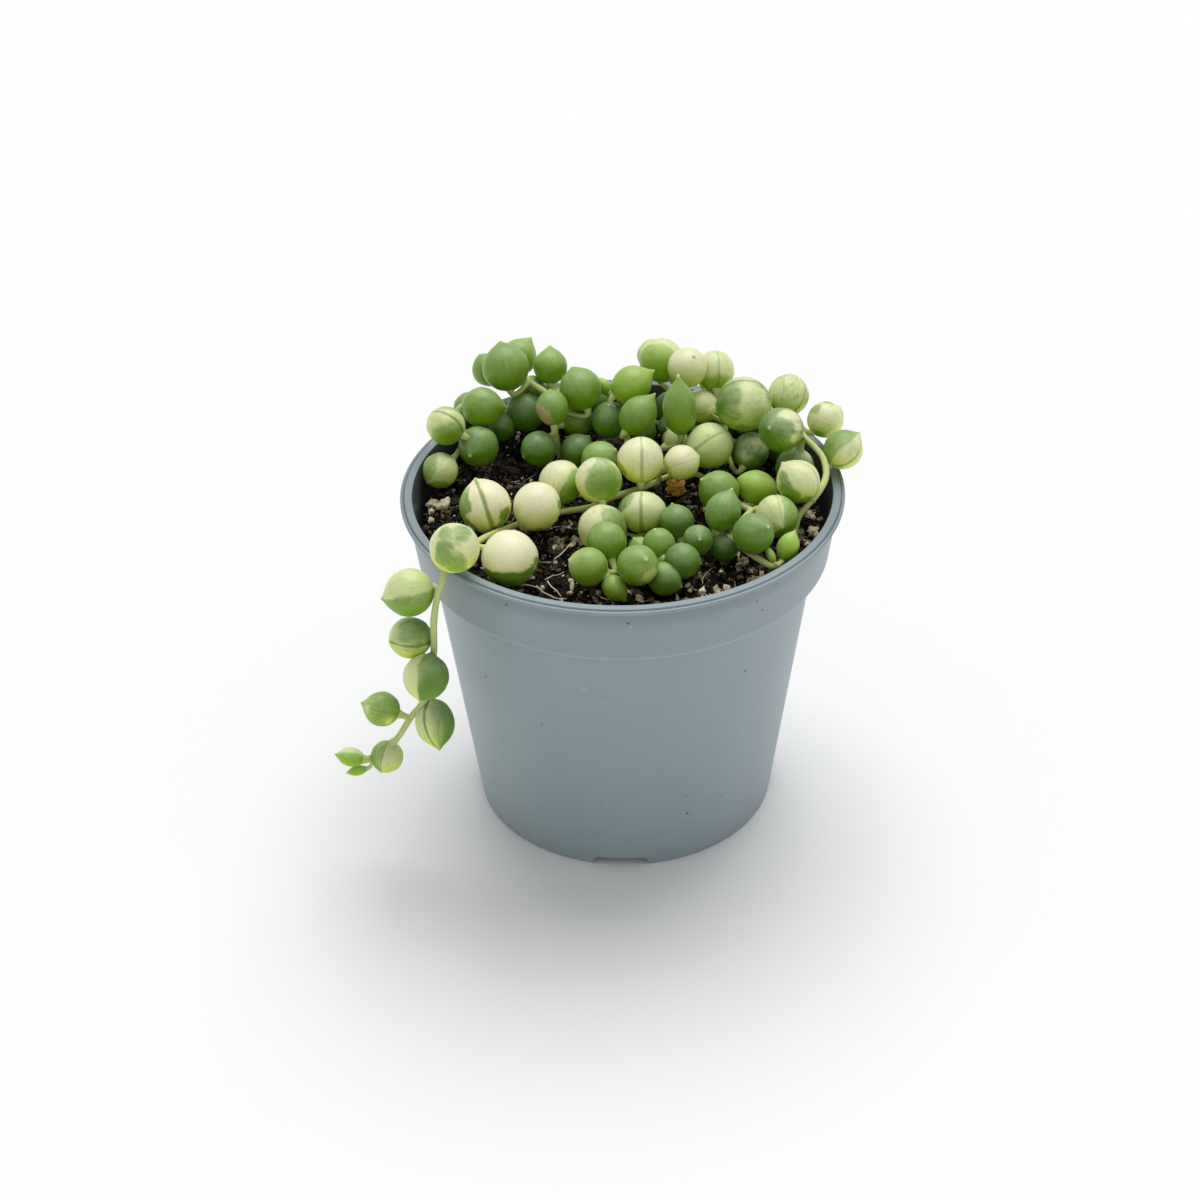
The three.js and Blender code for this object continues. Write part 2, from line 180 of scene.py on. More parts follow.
# The pale stem that crosses the soil and hangs over the rim at the left
TRAILING_STEMS = (
    (
        (12, 7.5, 41), (12, 7.5, 44), (10.7, 6.5, 46.6), (8, 5.2, 47.6), (6, 3.8, 48), (3, 1, 48.2),
        (-1.3, -0.5, 47.6), (-4.2, -2.2, 47.2), (-8, -2.9, 47), (-11.2, -4, 46.9), (-14.2, -6.3, 47.2),
        (-16.4, -9, 48), (-18.4, -13, 49.4), (-20.2, -16.4, 50.1), (-21.9, -19, 50.2), (-22.9, -20.7, 50.1),
        (-23.4, -21.8, 48.8), (-24.1, -22, 46.6), (-24.8, -22, 42.6), (-25.1, -21.8, 37.4),
        (-25.9, -21, 33), (-27, -21, 29), (-28.7, -20.5, 26.3), (-31.1, -20, 22), (-33.6, -20, 19.6),
        (-35.4, -20, 18.8),
    ),
)
TRAILING_LEAVES = (
    Leaf(
        8.1, 2.6, 51, 4.8, 10, 15, cream=360, fade=0.3, streaks=0.2, stripe=(0, -0.1, 1), line=0.4,
        point=0.08,
    ),
    Leaf(
        2.5, 1, 52.5, 6.2, 90, 48, cream=360, fade=0.3, streaks=0.3, stripe=(0.05, 0, 1), line=0.7, point=0,
        green=((-0.9, -0.5, 0.2, 20),), tone=0.9,
    ),
    Leaf(
        -3.2, -3.2, 52, 6.2, 100, 35, tone=0.4, cream=360, fade=0.4, ragged=0.25, streaks=0.6, point=0,
        green=((0.42, -0.1, 0.9, 60), (0.3, 0.9, 0.3, 24)),
    ),
    Leaf(
        -8.3, 0.2, 49.7, 6, 60, 30, tone=0.6, cream=360, fade=0.5, ragged=0.2, streaks=0.4, point=0.03,
        green=((0.75, -0.5, 0.45, 56),),
    ),
    Leaf(
        -11.4, -6.6, 50.2, 6.4, 20, 60, tone=0.5, cream=360, fade=0.1, ragged=0.3, streaks=0.25, point=0.05,
        green=((0.1, -1, 0.2, 20), (0.95, 0.1, 0.3, 14)),
    ),
    Leaf(
        -18.3, -6.3, 50.2, 6.9, 120, 50, tone=0.4, cream=360, fade=0.1, ragged=0.35, streaks=0.2,
        stripe=(0.05, 0, 1), line=1.1,
        green=((-1, 0.35, 0.3, 38), (0.85, -0.3, 0.5, 22), (-0.5, -0.8, 0.35, 20), (0.5, -0.85, 0.1, 26)),
    ),
    Leaf(
        -14.8, -17.9, 49.5, 7.3, tone=0.3, cream=360, fade=0, ragged=0.25, streaks=0.15, point=0.04,
        green=((0.05, -0.92, -0.38, 77), (0.9, -0.5, 0.05, 36)),
    ),
    Leaf(
        -21.6, -21.6, 53.6, 6.4, -141, 44, tone=0.4, cream=360, fade=0.6, ragged=0.22, streaks=0.45,
        point=0.03,
        green=(
            (-0.3, 0.6, 0.74, 19), (0.35, 0.62, 0.7, 21), (-0.42, 0, 0.9, 15), (-0.4, -0.5, 0.75, 24),
            (0.05, -0.75, 0.65, 27), (0.1, -0.85, -0.5, 46),
        ),
    ),
    Leaf(
        -27.8, -20.5, 46.2, 6.3, -175, -10, tone=0.35, cream=165, side=(0, 1, 0.35), fade=0.95, ragged=0.12,
        streaks=0.4, point=0.16,
    ),
    Leaf(
        -28.1, -20.5, 39.1, 5.5, -150, 10, tone=0.35, fade=1, ragged=0.4, streaks=0.9, stripe=(0, -0.45, 1),
        line=1, pale=((-0.7, 0.3, 0.6, 30), (-0.3, -0.7, 0.6, 36), (0.5, -0.7, 0.4, 22)),
    ),
    Leaf(
        -26.1, -24.3, 35.5, 6, -105, -30, tone=0.2, cream=115, side=(-1, 0, 0.35), fade=0.85, ragged=0.12,
        streaks=0.25,
    ),
    Leaf(
        -25.6, -21.5, 26, 5.3, -75, -55, 1.15, tone=0.25, cream=150, side=(-1, 0, 0.25), fade=0.9,
        ragged=0.2, streaks=0.9, stripe=(-0.5, 0, 1), line=1, point=0.25,
    ),
    Leaf(
        -32.6, -20, 27.2, 4.7, 170, 15, tone=0.5, fade=0.9, streaks=0.7, ragged=0.35, stripe=(0, -0.1, 1),
        line=0.5, point=0.25, pale=((-0.7, 0.1, 0.6, 20), (0.4, -0.7, 0.6, 14)),
    ),
    Leaf(
        -32.5, -20, 19.2, 4.4, -110, -25, tone=0.5, cream=200, side=(0.8, -0.5, 0.3), fade=0.9, streaks=0.6,
        stripe=(-0.2, 0.1, 1), line=0.8,
    ),
    Leaf(-37.3, -20, 19.2, 2.6, 175, 10, 1.35, tone=0.85, cream=80, side=(0, 1, 0.3), fade=1, point=0.35),
    Leaf(-36.6, -20, 16.9, 1.4, -175, -10, 1.8, tone=0.8, point=0.35),
)

# The green clump at the front
FRONT_STEMS = (
    (
        (9, -9.5, 41), (9, -9.5, 44), (8, -10.8, 45.8), (6.3, -12.6, 46.2), (5.2, -15, 46.1),
        (4.4, -17.1, 46.1), (2.2, -17.5, 46.1), (-0.8, -18, 47.2), (-2.6, -19.8, 47.8),
    ),
    ((5.2, -15, 46.1), (2.4, -14.6, 45.6), (0, -12.2, 45.8), (0, -8.6, 45.7), (0.4, -5, 45.6)),
)
FRONT_LEAVES = (
    Leaf(-4.7, -19.5, 49, 5, tone=0.55, streaks=0.8, pale=((-0.9, 0.2, 0.2, 14),), fade=0.9),
    Leaf(-1.4, -21.2, 46.8, 3.1, -40, -35, 1.15, tone=0.7, stripe=(0.2, 0.6, 1), line=0.3, point=0.3),
    Leaf(1.6, -20.9, 50, 5.3, -60, 45, tone=0.4, fade=0.95, streaks=0.4, pale=((0.6, -0.55, 0.55, 20),)),
    Leaf(5, -19.6, 47, 4.4, -30, -10, tone=0.25, point=0.2),
    Leaf(7.4, -17.7, 48.4, 4.7, -15, 0, tone=0.15, point=0.1),
    Leaf(-2.3, -14.9, 49.8, 5.2, tone=0.4),
    Leaf(
        -2.8, -9.2, 48.2, 6.4, 100, 40, tone=0.3, cream=360, fade=0.5, ragged=0.3, streaks=0.5,
        stripe=(0.1, 0.5, 0.8), line=0.35, point=0, green=((0.8, 0.25, 0.5, 50),),
    ),
    Leaf(
        2.5, -5.6, 48.4, 6.5, 90, 56, 0.85, tone=0.3, cream=360, fade=0.7, ragged=0.3, streaks=0.35,
        stripe=(-0.05, 0, 1), line=0.8, point=0,
        green=((-0.85, 0.4, 0.3, 30), (0.2, -1, 0.2, 20), (0.95, -0.2, 0.2, 16)),
    ),
    Leaf(2.2, -12.4, 46.8, 3.4, 150, 55, tone=0.6),
    Leaf(4.5, -14.8, 49.1, 4.3, tone=0.4),
    Leaf(7.1, -8.4, 48.5, 4.5, tone=0.15, stripe=(0, 1, 0.6), line=0.3),
    Leaf(9.6, -14, 49.2, 4, -85, 35, tone=0.15),
)

# The green clump at the front right
FRONT_RIGHT_STEMS = (
    (
        (11, -5.5, 41), (11, -5.5, 44), (11.1, -7.4, 46.2), (11.3, -10.8, 47.6), (14, -13, 48.9),
        (16, -15, 48), (17.4, -17, 48), (19.2, -18.4, 47.8), (20.4, -17.3, 47.8),
    ),
    (
        (14, -13, 48.9), (15, -10.4, 49.1), (16.3, -8, 49), (17, -5.4, 48.2), (16.4, -2.8, 47),
        (15.6, -0.6, 46.4),
    ),
)
FRONT_RIGHT_LEAVES = (
    Leaf(13.1, -12.6, 47.2, 4, tone=0),
    Leaf(13, -1.5, 48.9, 5.5, tone=0.4),
    Leaf(18.3, 0.3, 48.1, 4.8, 170, 25, 1.15, tone=1.1, point=0.08),
    Leaf(13, -10.9, 51.5, 4.7, 50, 55, 1.1, tone=0.3, stripe=(0, -0.2, 1), line=0.5, point=0.25),
    Leaf(16.7, -15.5, 51, 5.4, -40, 40, tone=0.2),
    Leaf(
        20.2, -9.1, 49.5, 5.7, -80, 5, tone=0.4, cream=150, side=(-1, 0.3, 0.5), fade=0.7, streaks=0.5,
        stripe=(0.1, 0.6, 1), line=0.6,
    ),
    Leaf(21.2, -15.7, 49, 2.9, 45, 55, 1.25, tone=0.9, fade=1, point=0.28, pale=((-0.9, -0.2, 0.3, 24),)),
    Leaf(18.9, -17.6, 48.9, 1.1, 120, 40, 2, tone=0.6),
)

# The stem that arches along the right rim
RIGHT_LOOP_STEMS = (
    (
        (22.6, -8.6, 41), (22.6, -8.6, 44), (23.3, -6.8, 47.6), (26, -4.4, 50), (27.3, -1.6, 51),
        (27.2, 1.2, 52), (26.2, 3.5, 52.5), (24.9, 6, 52.8), (24.6, 10, 52.4), (24.2, 12.6, 51.9),
    ),
)
RIGHT_LOOP_LEAVES = (
    Leaf(
        23.4, 14.4, 54.5, 5.7, 60, 45, tone=0.35, cream=360, fade=0.85, ragged=0.3, streaks=0.9,
        stripe=(0.7, -0.2, 0.7), line=0.8, point=0.05,
        green=((0.95, -0.35, 0.1, 30), (-0.3, 1, 0.1, 24), (-0.9, -0.4, 0.1, 26)),
    ),
    Leaf(
        28.2, 10, 53, 5, 30, 30, tone=0.5, cream=360, fade=0.4, ragged=0.25, streaks=0.5,
        stripe=(-0.1, 0.5, 1), line=0.3, point=0.06,
        green=((-0.6, 0.6, 0.45, 17), (0.1, 0.95, 0.2, 18), (-0.4, -0.8, 0.4, 17), (0.9, 0.4, 0.2, 13)),
    ),
    Leaf(
        30, 3.2, 52.2, 5.3, 30, 35, tone=0.4, cream=125, side=(0.8, -0.6, 0.6), fade=0.6, ragged=0.15,
        streaks=0.5, stripe=(0.8, -0.2, 0.7), line=0.8, point=0.2,
    ),
    Leaf(
        21.7, 4.7, 54.6, 6.1, -130, 30, tone=0.15, ragged=0.25, streaks=0.5, fade=0.55, point=0.08,
        pale=((0.35, 0.55, 0.7, 27), (0.6, 0.1, 0.75, 12), (0.5, -0.4, 0.75, 8)),
    ),
    Leaf(
        23.4, -3.7, 51.5, 5.8, 145, 40, tone=0.3, cream=360, fade=0.6, ragged=0.15, streaks=0.35,
        stripe=(0.5, 0.7, 0.6), line=0.6,
        green=(
            (-0.75, 0.2, 0.65, 20), (-0.66, -0.3, 0.68, 26), (-0.35, -0.7, 0.6, 30), (0.2, -0.95, 0.3, 28),
        ),
    ),
    Leaf(23.8, 5.7, 48, 5.4, tone=0.2, streaks=0.9, ragged=0.4, fade=0.9, pale=((0.3, 0.8, 0.5, 20),)),
)

# The pale leaves heaped at the back right
BACK_RIGHT_STEMS = (
    (
        (15, 12.5, 41), (15, 12.5, 44), (14.8, 13.4, 47.6), (14.5, 15.4, 50.2), (14.5, 18.6, 51.2),
        (12.5, 22, 50.9), (9, 22, 50.6), (6.8, 23.8, 50.8), (5.6, 25.6, 51.2),
    ),
)
BACK_RIGHT_LEAVES = (
    Leaf(
        13.6, 21, 54.9, 5.3, 90, 35, 1.1, tone=0.75, cream=360, fade=0.8, streaks=0.5, stripe=(0.15, 0, 1),
        line=0.6, point=0, green=((0, -1, 0.3, 60),),
    ),
    Leaf(11.7, 17.7, 51, 4.6, cream=360, fade=0.6, stripe=(0, -0.6, 1), line=0.6, point=0.05),
    Leaf(
        9.6, 19.6, 56.3, 5.6, -55, 55, cream=360, fade=0.45, streaks=0.15, point=0,
        scar=(0.28, 0.42, 0.86, 5),
    ),
    Leaf(
        6, 23.3, 55.5, 6.3, 120, 30, tone=0.9, cream=360, fade=0.8, ragged=0.12, streaks=0.25, point=0,
        green=((-0.3, -0.4, 0.8, 70),),
    ),
    Leaf(5, 27.5, 54, 4.7, 100, 30, tone=0.35, cream=360, fade=1, streaks=0.9, point=0.03),
    Leaf(
        17, 11, 55.1, 7.6, 0, 10, tone=0.2, cream=360, fade=0.85, ragged=0.25, streaks=0.7,
        stripe=(0.4, 0.75, 0.5), line=0.9, point=0.03,
        green=((-1, 0, 0.3, 60), (0.55, 0.8, 0.25, 20), (0.95, 0.2, 0.2, 16), (-0.1, -1, 0.2, 26)),
    ),
    Leaf(
        12.2, 8, 50.4, 6.4, 20, 25, cream=360, fade=1, tone=0.3, streaks=0.4, stripe=(-0.1, 0.2, 1),
        line=0.7, point=0.02, scar=(-0.1, 0.35, 0.9, 4),
    ),
    Leaf(
        17.9, 9.1, 48.7, 5.2, 60, 30, tone=0.1, streaks=1, ragged=0.4, fade=0.7, point=0.08,
        pale=((0.15, 0.5, 0.8, 24), (-0.4, -0.3, 0.8, 12)),
    ),
    Leaf(18.5, 17, 49.4, 5.4, tone=0.1),
    Leaf(13.8, 24.4, 51.9, 5, tone=0.3, cream=200, side=(0, 1, 0), fade=0.7),
)

# The pointed green leaves behind the middle
CENTRE_STEMS = (
    ((1.5, 10, 41), (1.5, 10, 44), (1.1, 11, 47.5), (0.8, 12.5, 50.4), (0.8, 14, 52.2)),
    ((1.1, 11, 47.5), (4, 12.4, 47.2), (6.6, 12, 47.6)),
)
CENTRE_LEAVES = (
    Leaf(1.6, 15.4, 56, 5.2, 20, 25, 1.1, tone=0.8, point=0.3),
    Leaf(2.4, 10.4, 54, 4.9, 35, 40, 1.15, tone=0.35, point=0.35),
    Leaf(
        8.2, 10.8, 54.5, 4.8, 100, 75, 1.45, tone=0.4, fade=0.6, point=0.42, pale=((-0.95, 0.2, 0.1, 14),),
    ),
    Leaf(-1.5, 14.3, 51.1, 5.1, -90, 80, tone=0.1),
    Leaf(7.6, 13.8, 48, 3.6, tone=0.3, cream=120, fade=0.9),
    Leaf(2.8, 17, 47.6, 4.6, tone=0.1),
)

# The green leaves at the back left
BACK_LEFT_STEMS = (
    (
        (-8.4, 13.9, 41), (-8.4, 13.9, 44), (-8.8, 14.6, 47), (-9.3, 16, 50.4), (-9.5, 17.6, 52.8),
        (-12.3, 20, 54), (-14.6, 23.6, 53.4),
    ),
    ((-9.5, 17.6, 52.8), (-8, 19.4, 53.2), (-5.2, 20.2, 53), (-2.6, 20.2, 52.8)),
)
BACK_LEFT_LEAVES = (
    Leaf(-15.9, 19.8, 56.7, 6.5, 110, 55, tone=0.35),
    Leaf(-14.3, 27.1, 54.3, 5.2, 40, 45, tone=0.6, point=0.3),
    Leaf(-18.5, 24.2, 54, 4.7, 150, 55, tone=0.4, point=0.08),
    Leaf(-9.7, 22, 55.5, 4.8, 90, 55, tone=0.5, point=0.25),
    Leaf(-5.5, 16.3, 55, 5.9, 120, 50, tone=0.4),
    Leaf(-2.2, 18.9, 54, 1.8, 145, 40, 1.4, tone=1),
    Leaf(-13.3, 19, 50, 5.6, -155, 15, tone=0.1),
    Leaf(-5.9, 16.5, 49.7, 4.4, tone=0.35),
    Leaf(-9.4, 23, 49.6, 5.2, tone=0.1),
    Leaf(-4, 23.6, 48.6, 5, tone=0.1),
    Leaf(-12.2, 21.8, 52.4, 3.4, tone=0.5),
    Leaf(-16.8, 17.4, 48.7, 4.3, tone=0.1),
)

# The leaves by the left rim
LEFT_STEMS = (
    (
        (-18.5, 14.6, 41), (-18.5, 14.6, 44), (-19.6, 14.3, 47), (-21.4, 13.4, 49.4), (-22.3, 14, 51.4),
        (-22.4, 15.2, 53),
    ),
)
LEFT_LEAVES = (
    Leaf(-19.2, 14.2, 53.6, 5.6, 0, 0, tone=0.4, point=0.25),
    Leaf(
        -24, 9.5, 53.5, 5.3, 160, 25, tone=0.45, cream=360, fade=0.9, ragged=0.3, streaks=0.6,
        stripe=(0, 0.6, 0.8), line=1, point=0.03, green=((0.15, -0.8, 0.55, 62), (0.3, 0.95, 0.1, 34)),
    ),
    Leaf(-19.7, 9.8, 49.9, 5.6, -110, 5, tone=0.2, stripe=(0, 0.5, 0.9), line=0.7),
    Leaf(
        -24.9, 6.2, 48.3, 4.9, -130, -15, tone=0.4, cream=360, fade=1, ragged=0.2, streaks=0.4,
        stripe=(0.3, 0.6, 0.8), line=0.3,
        green=((-0.9, 0.35, 0.4, 55), (-0.1, -1, 0.2, 36), (0.5, 0.85, 0.2, 18)),
    ),
    Leaf(-21.2, 18, 51.4, 4.4, tone=0.2),
)

# The leaves just inside the left ones
INNER_LEFT_STEMS = (
    ((-11.4, 13.4, 41), (-11.4, 13.4, 44), (-11.3, 13.2, 47), (-10.9, 12.9, 50)),
    ((-11.3, 13.2, 47), (-9, 10.4, 45.6), (-7.2, 8.2, 45.4), (-5.6, 7.2, 46)),
)
INNER_LEFT_LEAVES = (
    Leaf(-9.4, 12.6, 54.2, 4.5, 100, 55, 1.1, tone=0.35, point=0.05, scar=(-0.7, -0.5, 0.45, 38)),
    Leaf(-11.4, 10.4, 49, 4.9, -140, -5, tone=0.1, stripe=(0.1, 0.8, 0.6), line=0.5),
    Leaf(-6.1, 11.4, 48, 4.6, tone=0.1),
    Leaf(-2.9, 6.8, 49, 5.4, tone=0.5),
)

# Leaves behind the front rows, where the photograph cannot look
REAR_STEMS = (
    ((1.5, 21.8, 41), (1.5, 21.8, 44), (3, 22.4, 45.8), (7, 21.6, 46), (11.5, 19.5, 46), (17, 15.8, 46)),
)
REAR_LEAVES = (
    Leaf(2, 24.6, 48.4, 4.8, tone=0.3),
    Leaf(7.2, 24, 47.4, 4.6, tone=0.2),
    Leaf(7.6, 18.6, 47.2, 4.4, tone=0.1),
    Leaf(12, 21.8, 47.2, 4.2, tone=0.3),
    Leaf(22.3, 12.2, 47.6, 4.6, tone=0.15),
    Leaf(15.5, 20.2, 46.6, 3.8, tone=0.2),
)

STRINGS = (
    String("trailing_string", "trailing_vine", "variegated_leaf", TRAILING_STEMS, TRAILING_LEAVES),
    String("front_string", "front_vine", "green_leaf", FRONT_STEMS, FRONT_LEAVES),
    String("front_right_string", "front_right_vine", "green_leaf", FRONT_RIGHT_STEMS, FRONT_RIGHT_LEAVES),
    String("right_loop_string", "right_loop_vine", "variegated_leaf", RIGHT_LOOP_STEMS, RIGHT_LOOP_LEAVES),
    String("back_right_string", "back_right_vine", "variegated_leaf", BACK_RIGHT_STEMS, BACK_RIGHT_LEAVES),
    String("centre_string", "centre_vine", "green_leaf", CENTRE_STEMS, CENTRE_LEAVES),
    String("back_left_string", "back_left_vine", "green_leaf", BACK_LEFT_STEMS, BACK_LEFT_LEAVES),
    String("left_string", "left_vine", "green_leaf", LEFT_STEMS, LEFT_LEAVES),
    String("inner_left_string", "inner_left_vine", "green_leaf", INNER_LEFT_STEMS, INNER_LEFT_LEAVES),
    String("rear_string", "rear_vine", "green_leaf", REAR_STEMS, REAR_LEAVES),
)


def srgb(red, green, blue):
    """A colour read as 0 to 255 screen values, as the linear values that shaders take."""

    def linear(value):
        share = value / 255
        return share / 12.92 if share <= 0.04045 else ((share + 0.055) / 1.055) ** 2.4

    return (linear(red), linear(green), linear(blue), 1.0)


def colour(name, description, *screen):
    return FloatVectorProperty(
        name=name, description=description, default=srgb(*screen), size=4, subtype="COLOR", min=0, max=1
    )


def share(name, description, default):
    return FloatProperty(
        name=name, description=description, default=default, min=0, max=1, subtype="FACTOR"
    )


def strength(name, description, default):
    return FloatProperty(name=name, description=description, default=default, min=0)


def length(name, description, millimetres):
    return FloatProperty(
        name=name, description=description, default=millimetres * MM, min=0, unit="LENGTH", precision=5
    )


def count(name, description, default):
    return IntProperty(name=name, description=description, default=default, min=3)


class PotSettings(bpy.types.PropertyGroup):
    """Sizes and colours of the nursery pot"""

    lip_radius: length("Lip radius", "Outer radius of the lip", 30)
    lip_inner_radius: length("Lip inner radius", "Radius of the mouth", 28.4)
    lip_height: length("Lip height", "Height of the bead at the top of the collar", 0.6)
    lip_band: length("Lip band", "Width of the lip's outer band, which falls away outwards", 0.6)
    lip_fall: length("Lip fall", "How far the lip's outer band falls", 0.16)
    collar_top_radius: length("Collar top radius", "Collar radius under the bead", 29.2)
    collar_foot_radius: length("Collar foot radius", "Collar radius at its foot", 28.1)
    step_height: length("Step height", "Height of the step under the collar", 40.2)
    wall_top_radius: length("Wall top radius", "Wall radius under the step", 26.3)
    base_radius: length("Base radius", "Wall radius at the foot", 21)
    wall: length("Wall", "Thickness of the wall", 0.9)
    floor: length("Floor", "Thickness of the floor", 1)
    foot_width: length("Foot width", "Width of the foot ring", 2.4)
    foot_height: length("Foot height", "Height of the floor over the table", 1.6)
    edge: length("Edge radius", "Rounding of the moulded edges", 0.3)
    fine_edge: length("Fine edge radius", "Rounding of the lip's edges", 0.1)
    notch_top: length("Notch top", "Width of a drainage notch at its top", 7)
    notch_foot: length("Notch foot", "Width of a drainage notch at the table", 9)
    notch_height: length("Notch height", "Height of a drainage notch", 1.4)
    drain_radius: length("Drain radius", "Radius of a drain hole", 2.4)
    drain_ring: length("Drain ring", "How far out the drain holes are", 14.5)
    plastic: colour("Plastic", "Blue-grey of the moulded plastic", 146, 161, 167)
    # Also the painted highlight along the step's edge
    dust_and_highlight: colour("Dust", "Pale specks and scuffs", 205, 212, 210)
    # Also the painted shade inside the pot and the darker clouds at the lip's back
    dirt_and_shade: colour("Dirt", "Dark specks", 40, 40, 44)
    roughness: share("Roughness", "How matt the plastic is", 0.42)


class SoilSettings(bpy.types.PropertyGroup):
    """Amounts and colours of the peat mix"""

    crumbs: count("Crumbs", "Number of loose peat crumbs", 5600)
    bark: count("Bark", "Number of bark chips", 440)
    perlite: count("Perlite", "Number of perlite grains", 400)
    fibres: count("Fibres", "Number of root fibres", 90)
    peat: colour("Peat", "Dark peat", 28, 25, 18)
    peat_light: colour("Dry peat", "Peat that has dried at the surface", 124, 102, 76)
    bark_dark: colour("Bark", "Bark in the damp", 42, 35, 26)
    bark_light: colour("Dry bark", "Bark that has dried", 222, 204, 168)
    grain: colour("Perlite", "Perlite grains", 236, 226, 190)
    fibre: colour("Fibre", "Root fibres", 226, 216, 196)
    husk: colour("Husk", "Orange-brown of the dry husk", 255, 190, 88)


class LeafSettings(bpy.types.PropertyGroup):
    """Detail and colours of the stems and leaves"""

    sides: count("Leaf sides", "Faces round a leaf", 40)
    rings: count("Leaf rings", "Faces from a leaf's base to its tip", 26)
    stem_radius: length("Stem radius", "Radius of a stem", 0.43)
    stalk_radius: length("Stalk radius", "Radius of a leaf's stalk", 0.34)
    deep: colour("Deep green", "Green of the old leaves", 62, 114, 12)
    # Also added to the undersides as a painted glow of light shining through
    lime: colour("Lime", "Green of the youngest leaves", 162, 198, 46)
    cream: colour("Cream", "Cream of the variegated leaves", 253, 246, 210)
    pale: colour("Pale green", "Green tinge of the faded cream", 216, 226, 166)
    # Also paints the highlight on the upper sides
    bloom_and_highlight: colour("Bloom", "Waxy bloom on the upper sides", 206, 222, 186)
    window: colour("Window", "What the leaf window's line keeps of the colour under it", 156, 172, 108)
    # Painted shade: the undersides' colour is multiplied by this
    underside_shade: colour("Flesh", "What the shaded undersides keep of the colour over them", 238, 246, 80)
    stem: colour("Stem", "Pale green of the stems", 206, 214, 146)
    node: colour("Node", "Brown of the old leaf joints", 190, 164, 118)
    roughness: share("Roughness", "How waxy the leaves are", 0.4)


class StageSettings(bpy.types.PropertyGroup):
    """Light and floor"""

    floor: colour("Floor", "White floor", 246, 246, 246)
    sky: strength("Sky", "Strength of the light from all round", 0.5)
    lamp: strength("Lamp", "Strength of the soft light overhead in W/m2", 1.98)
    softness: FloatProperty(
        name="Softness", description="Angle that the soft light overhead fills",
        default=math.radians(50), min=0, max=math.pi, subtype="ANGLE",
    )


class PearlSettings(bpy.types.PropertyGroup):
    """All settings of the potted plant"""

    pot: PointerProperty(type=PotSettings, name="Pot")
    soil: PointerProperty(type=SoilSettings, name="Soil")
    leaf: PointerProperty(type=LeafSettings, name="Leaves")
    stage: PointerProperty(type=StageSettings, name="Stage")


# ---------------------------------------------------------------------------------------------
# Shader maths
# ---------------------------------------------------------------------------------------------


class Value:
    """A number that varies over a surface. Operators add Math nodes to its material."""

    def __init__(self, graph, socket):
        self.graph = graph
        self.socket = socket

    def math(self, operation, *others):
        inputs = dict(enumerate((self, *others)))
        return self.graph.node("ShaderNodeMath", {"operation": operation}, inputs).value()

    def __add__(self, other):
        return self.math("ADD", other)

    __radd__ = __add__

    def __sub__(self, other):
        return self.math("SUBTRACT", other)

    def __rsub__(self, other):
        return (self * -1).math("ADD", other)

    def __mul__(self, other):
        return self.math("MULTIPLY", other)

    __rmul__ = __mul__

    def __truediv__(self, other):
        return self.math("DIVIDE", other)

    def __pow__(self, other):
        return self.math("POWER", other)

    def __abs__(self):
        return self.math("ABSOLUTE")

    def above(self, edge, soft):
        """0 under the edge and 1 over it, with a soft step of that width."""
        settings = {"interpolation_type": "SMOOTHSTEP"}
        inputs = {"Value": self, "From Min": edge - soft / 2, "From Max": edge + soft / 2}
        return self.graph.node("ShaderNodeMapRange", settings, inputs).value("Result")


class Made:
    """A node that was made, with its outputs by name."""

    def __init__(self, graph, node):
        self.graph = graph
        self.node = node

    def value(self, name=0):
        return Value(self.graph, self.node.outputs[name])

    def link(self, name=0):
        return self.node.outputs[name]


class Graph:
    """A material's node tree, with a Principled shader at its end."""

    def __init__(self, name, **constants):
        self.material = bpy.data.materials.new(name)
        self.material.use_nodes = True
        self.tree = self.material.node_tree
        self.shader = self.tree.nodes["Principled BSDF"]
        for key, value in constants.items():
            self.shader.inputs[key.replace("_", " ")].default_value = value
        self.place = self.node("ShaderNodeTexCoord").link("Object")

    def node(self, kind, settings=None, inputs=None):
        made = self.tree.nodes.new(kind)
        for key, value in (settings or {}).items():
            setattr(made, key, value)
        for key, value in (inputs or {}).items():
            self.feed(made.inputs[key], value)
        return Made(self, made)

    def feed(self, socket, value):
        if isinstance(value, Value):
            value = value.socket
        if isinstance(value, bpy.types.NodeSocket):
            self.tree.links.new(value, socket)
        else:
            socket.default_value = value

    def attribute(self, name):
        return self.node("ShaderNodeAttribute", {"attribute_name": name})

    def parts(self, vector):
        """The x, y and z of a vector."""
        made = self.node("ShaderNodeSeparateXYZ", inputs={"Vector": vector})
        return [made.value(axis) for axis in "XYZ"]

    def vector(self, x, y, z):
        return self.node("ShaderNodeCombineXYZ", inputs={"X": x, "Y": y, "Z": z}).link()

    def stretched(self, scale):
        """The Object coordinates, stretched along the axes."""
        return self.node("ShaderNodeMapping", inputs={"Vector": self.place, "Scale": scale}).link()

    def noise(self, scale, detail=3, vector=None, distortion=0.0):
        inputs = {"Vector": vector or self.place, "Scale": scale, "Detail": detail}
        inputs["Distortion"] = distortion
        return self.node("ShaderNodeTexNoise", inputs=inputs).value("Fac")

    def cells(self, scale, vector=None):
        """A cell pattern: how far the nearest cell's centre is, and that cell's random colour."""
        inputs = {"Vector": vector or self.place, "Scale": scale}
        made = self.node("ShaderNodeTexVoronoi", inputs=inputs)
        return made.value("Distance"), self.parts(made.link("Color"))

    def mix(self, share, first, second, blend="MIX"):
        settings = {"data_type": "RGBA", "blend_type": blend}
        return self.node("ShaderNodeMix", settings, {0: share, 6: first, 7: second}).link(2)

    def bump(self, height, distance, strength=1.0):
        inputs = {"Height": height, "Distance": distance, "Strength": strength}
        return self.node("ShaderNodeBump", inputs=inputs).link()

    def finish(self, **inputs):
        for key, value in inputs.items():
            self.feed(self.shader.inputs[key.replace("_", " ")], value)
        return self.material


